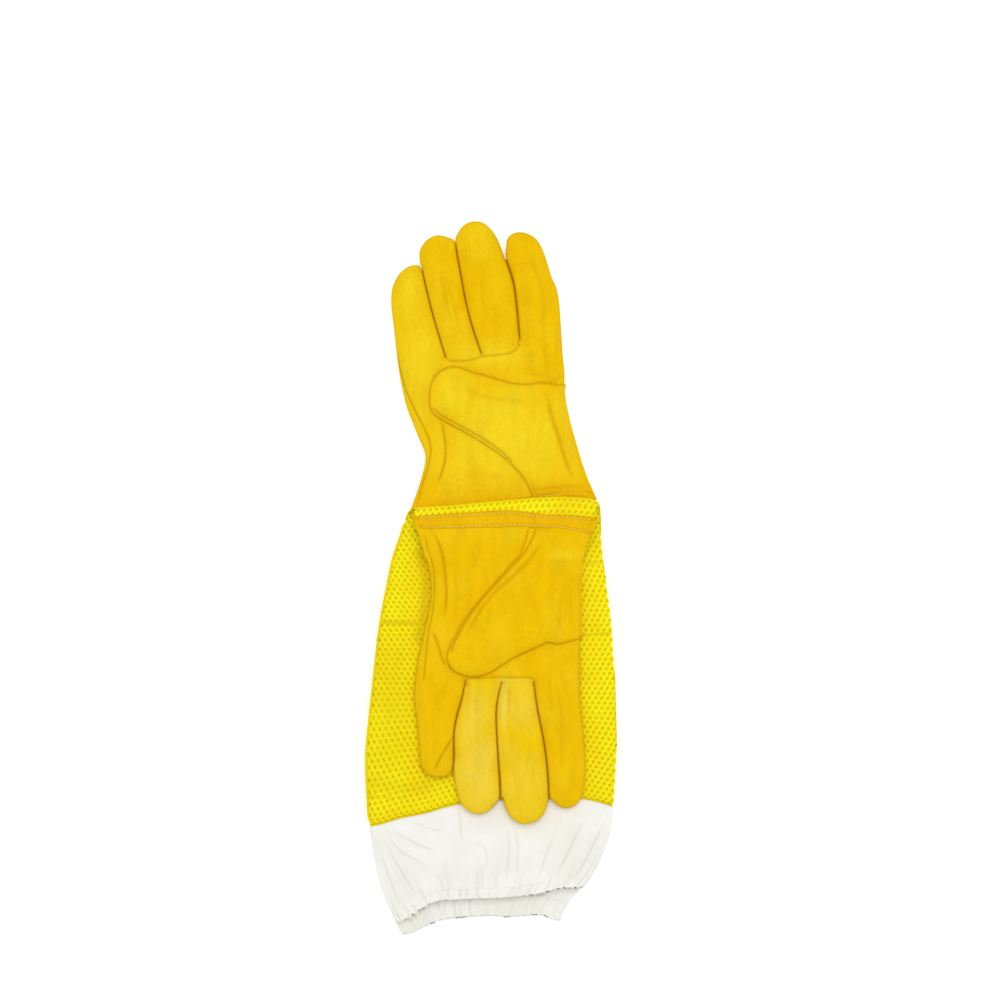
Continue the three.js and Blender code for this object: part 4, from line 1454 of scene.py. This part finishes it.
right_hem = build_cuff("right", RIGHT_Z, RIGHT_HEM, RIGHT_CHANNEL, "right_glove", 41, [], RIGHT_Z,
                       under_left_glove)
build_cuff("left", LEFT_SLEEVE_Z, LEFT_HEM, LEFT_CHANNEL, "left_sleeve", 42, LEFT_CREASES,
           LEFT_SLEEVE_Z - 0.1, under_left_hand)

# Grey overlock thread shows here and there along the lower edge of the right hem.
overlock = right_hem.grid[-1, 60:330] + np.array([0, -0.25, -0.1])
overlock_up = np.array([0, -0.6, 0.8]) + np.zeros_like(overlock)
threads = stitch_row("right_hem_overlock", overlock, overlock_up, GREY_THREAD, 1.9, 2.2, 0.42,
                     lambda at: noise(np.array([at]), np.array([0.0]), 4.4, 62)[0] > 0.3)
declare(threads, body="right_glove")


# ---- floor, light and camera --------------------------------------------------------------------
def floor(half=6.0, z=-0.0004):
    mesh = bpy.data.meshes.new("floor")
    corners = [(-half, -half, z), (half, -half, z), (half, half, z), (-half, half, z)]
    mesh.from_pydata(corners, [], [(0, 1, 2, 3)])
    s = Shader("pale_floor", 0.95, 0.0)
    s.colour(s.ramp(s.noise(60), srgb(252, 252, 252), srgb(254, 254, 254)))
    s.give(s.shader, {"Emission Color": WHITE, "Emission Strength": 0.25})
    mesh.materials.append(s.material)
    add_object("floor", mesh)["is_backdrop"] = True


def light(name, place, size, power):
    """A round lamp that shines on the middle of the pair."""
    lamp = bpy.data.lights.new(name, "AREA")
    lamp.shape = "DISK"
    lamp.size = size
    lamp.energy = power
    item = add_object(name, lamp)
    item.location = place
    item.rotation_euler = (-Vector(place)).to_track_quat("-Z", "Y").to_euler()


floor()
light("key", (0.3, 0.6, 2.3), 1.2, 13.2)
light("overhead", (-0.3, -0.1, 2.4), 2.0, 9.5)
world = bpy.data.worlds.new("studio")
world.use_nodes = True
background = world.node_tree.nodes["Background"]
background.inputs["Color"].default_value = WHITE
background.inputs["Strength"].default_value = 0.67
bpy.context.scene.world = world
bpy.context.scene.view_settings.view_transform = "Standard"

# The view is straight down from far off. It takes in 720 mm each way, and its middle is up and right
# of the pair.
VIEW_WIDTH = 0.72
VIEW_MIDDLE = row(7.2, 56.2, 20)
camera = bpy.data.cameras.new("camera")
camera.lens = 360
camera.sensor_width = 36
reach = VIEW_WIDTH * camera.lens / camera.sensor_width
bpy.context.scene.camera = add_object("camera", camera)
bpy.context.scene.camera.location = (VIEW_MIDDLE[0], VIEW_MIDDLE[1], VIEW_MIDDLE[2] + reach)

boxes = {"cad": CAD_BOX, "visual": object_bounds()}
{k: [list(corner) for corner in v] for k, v in boxes.items()}
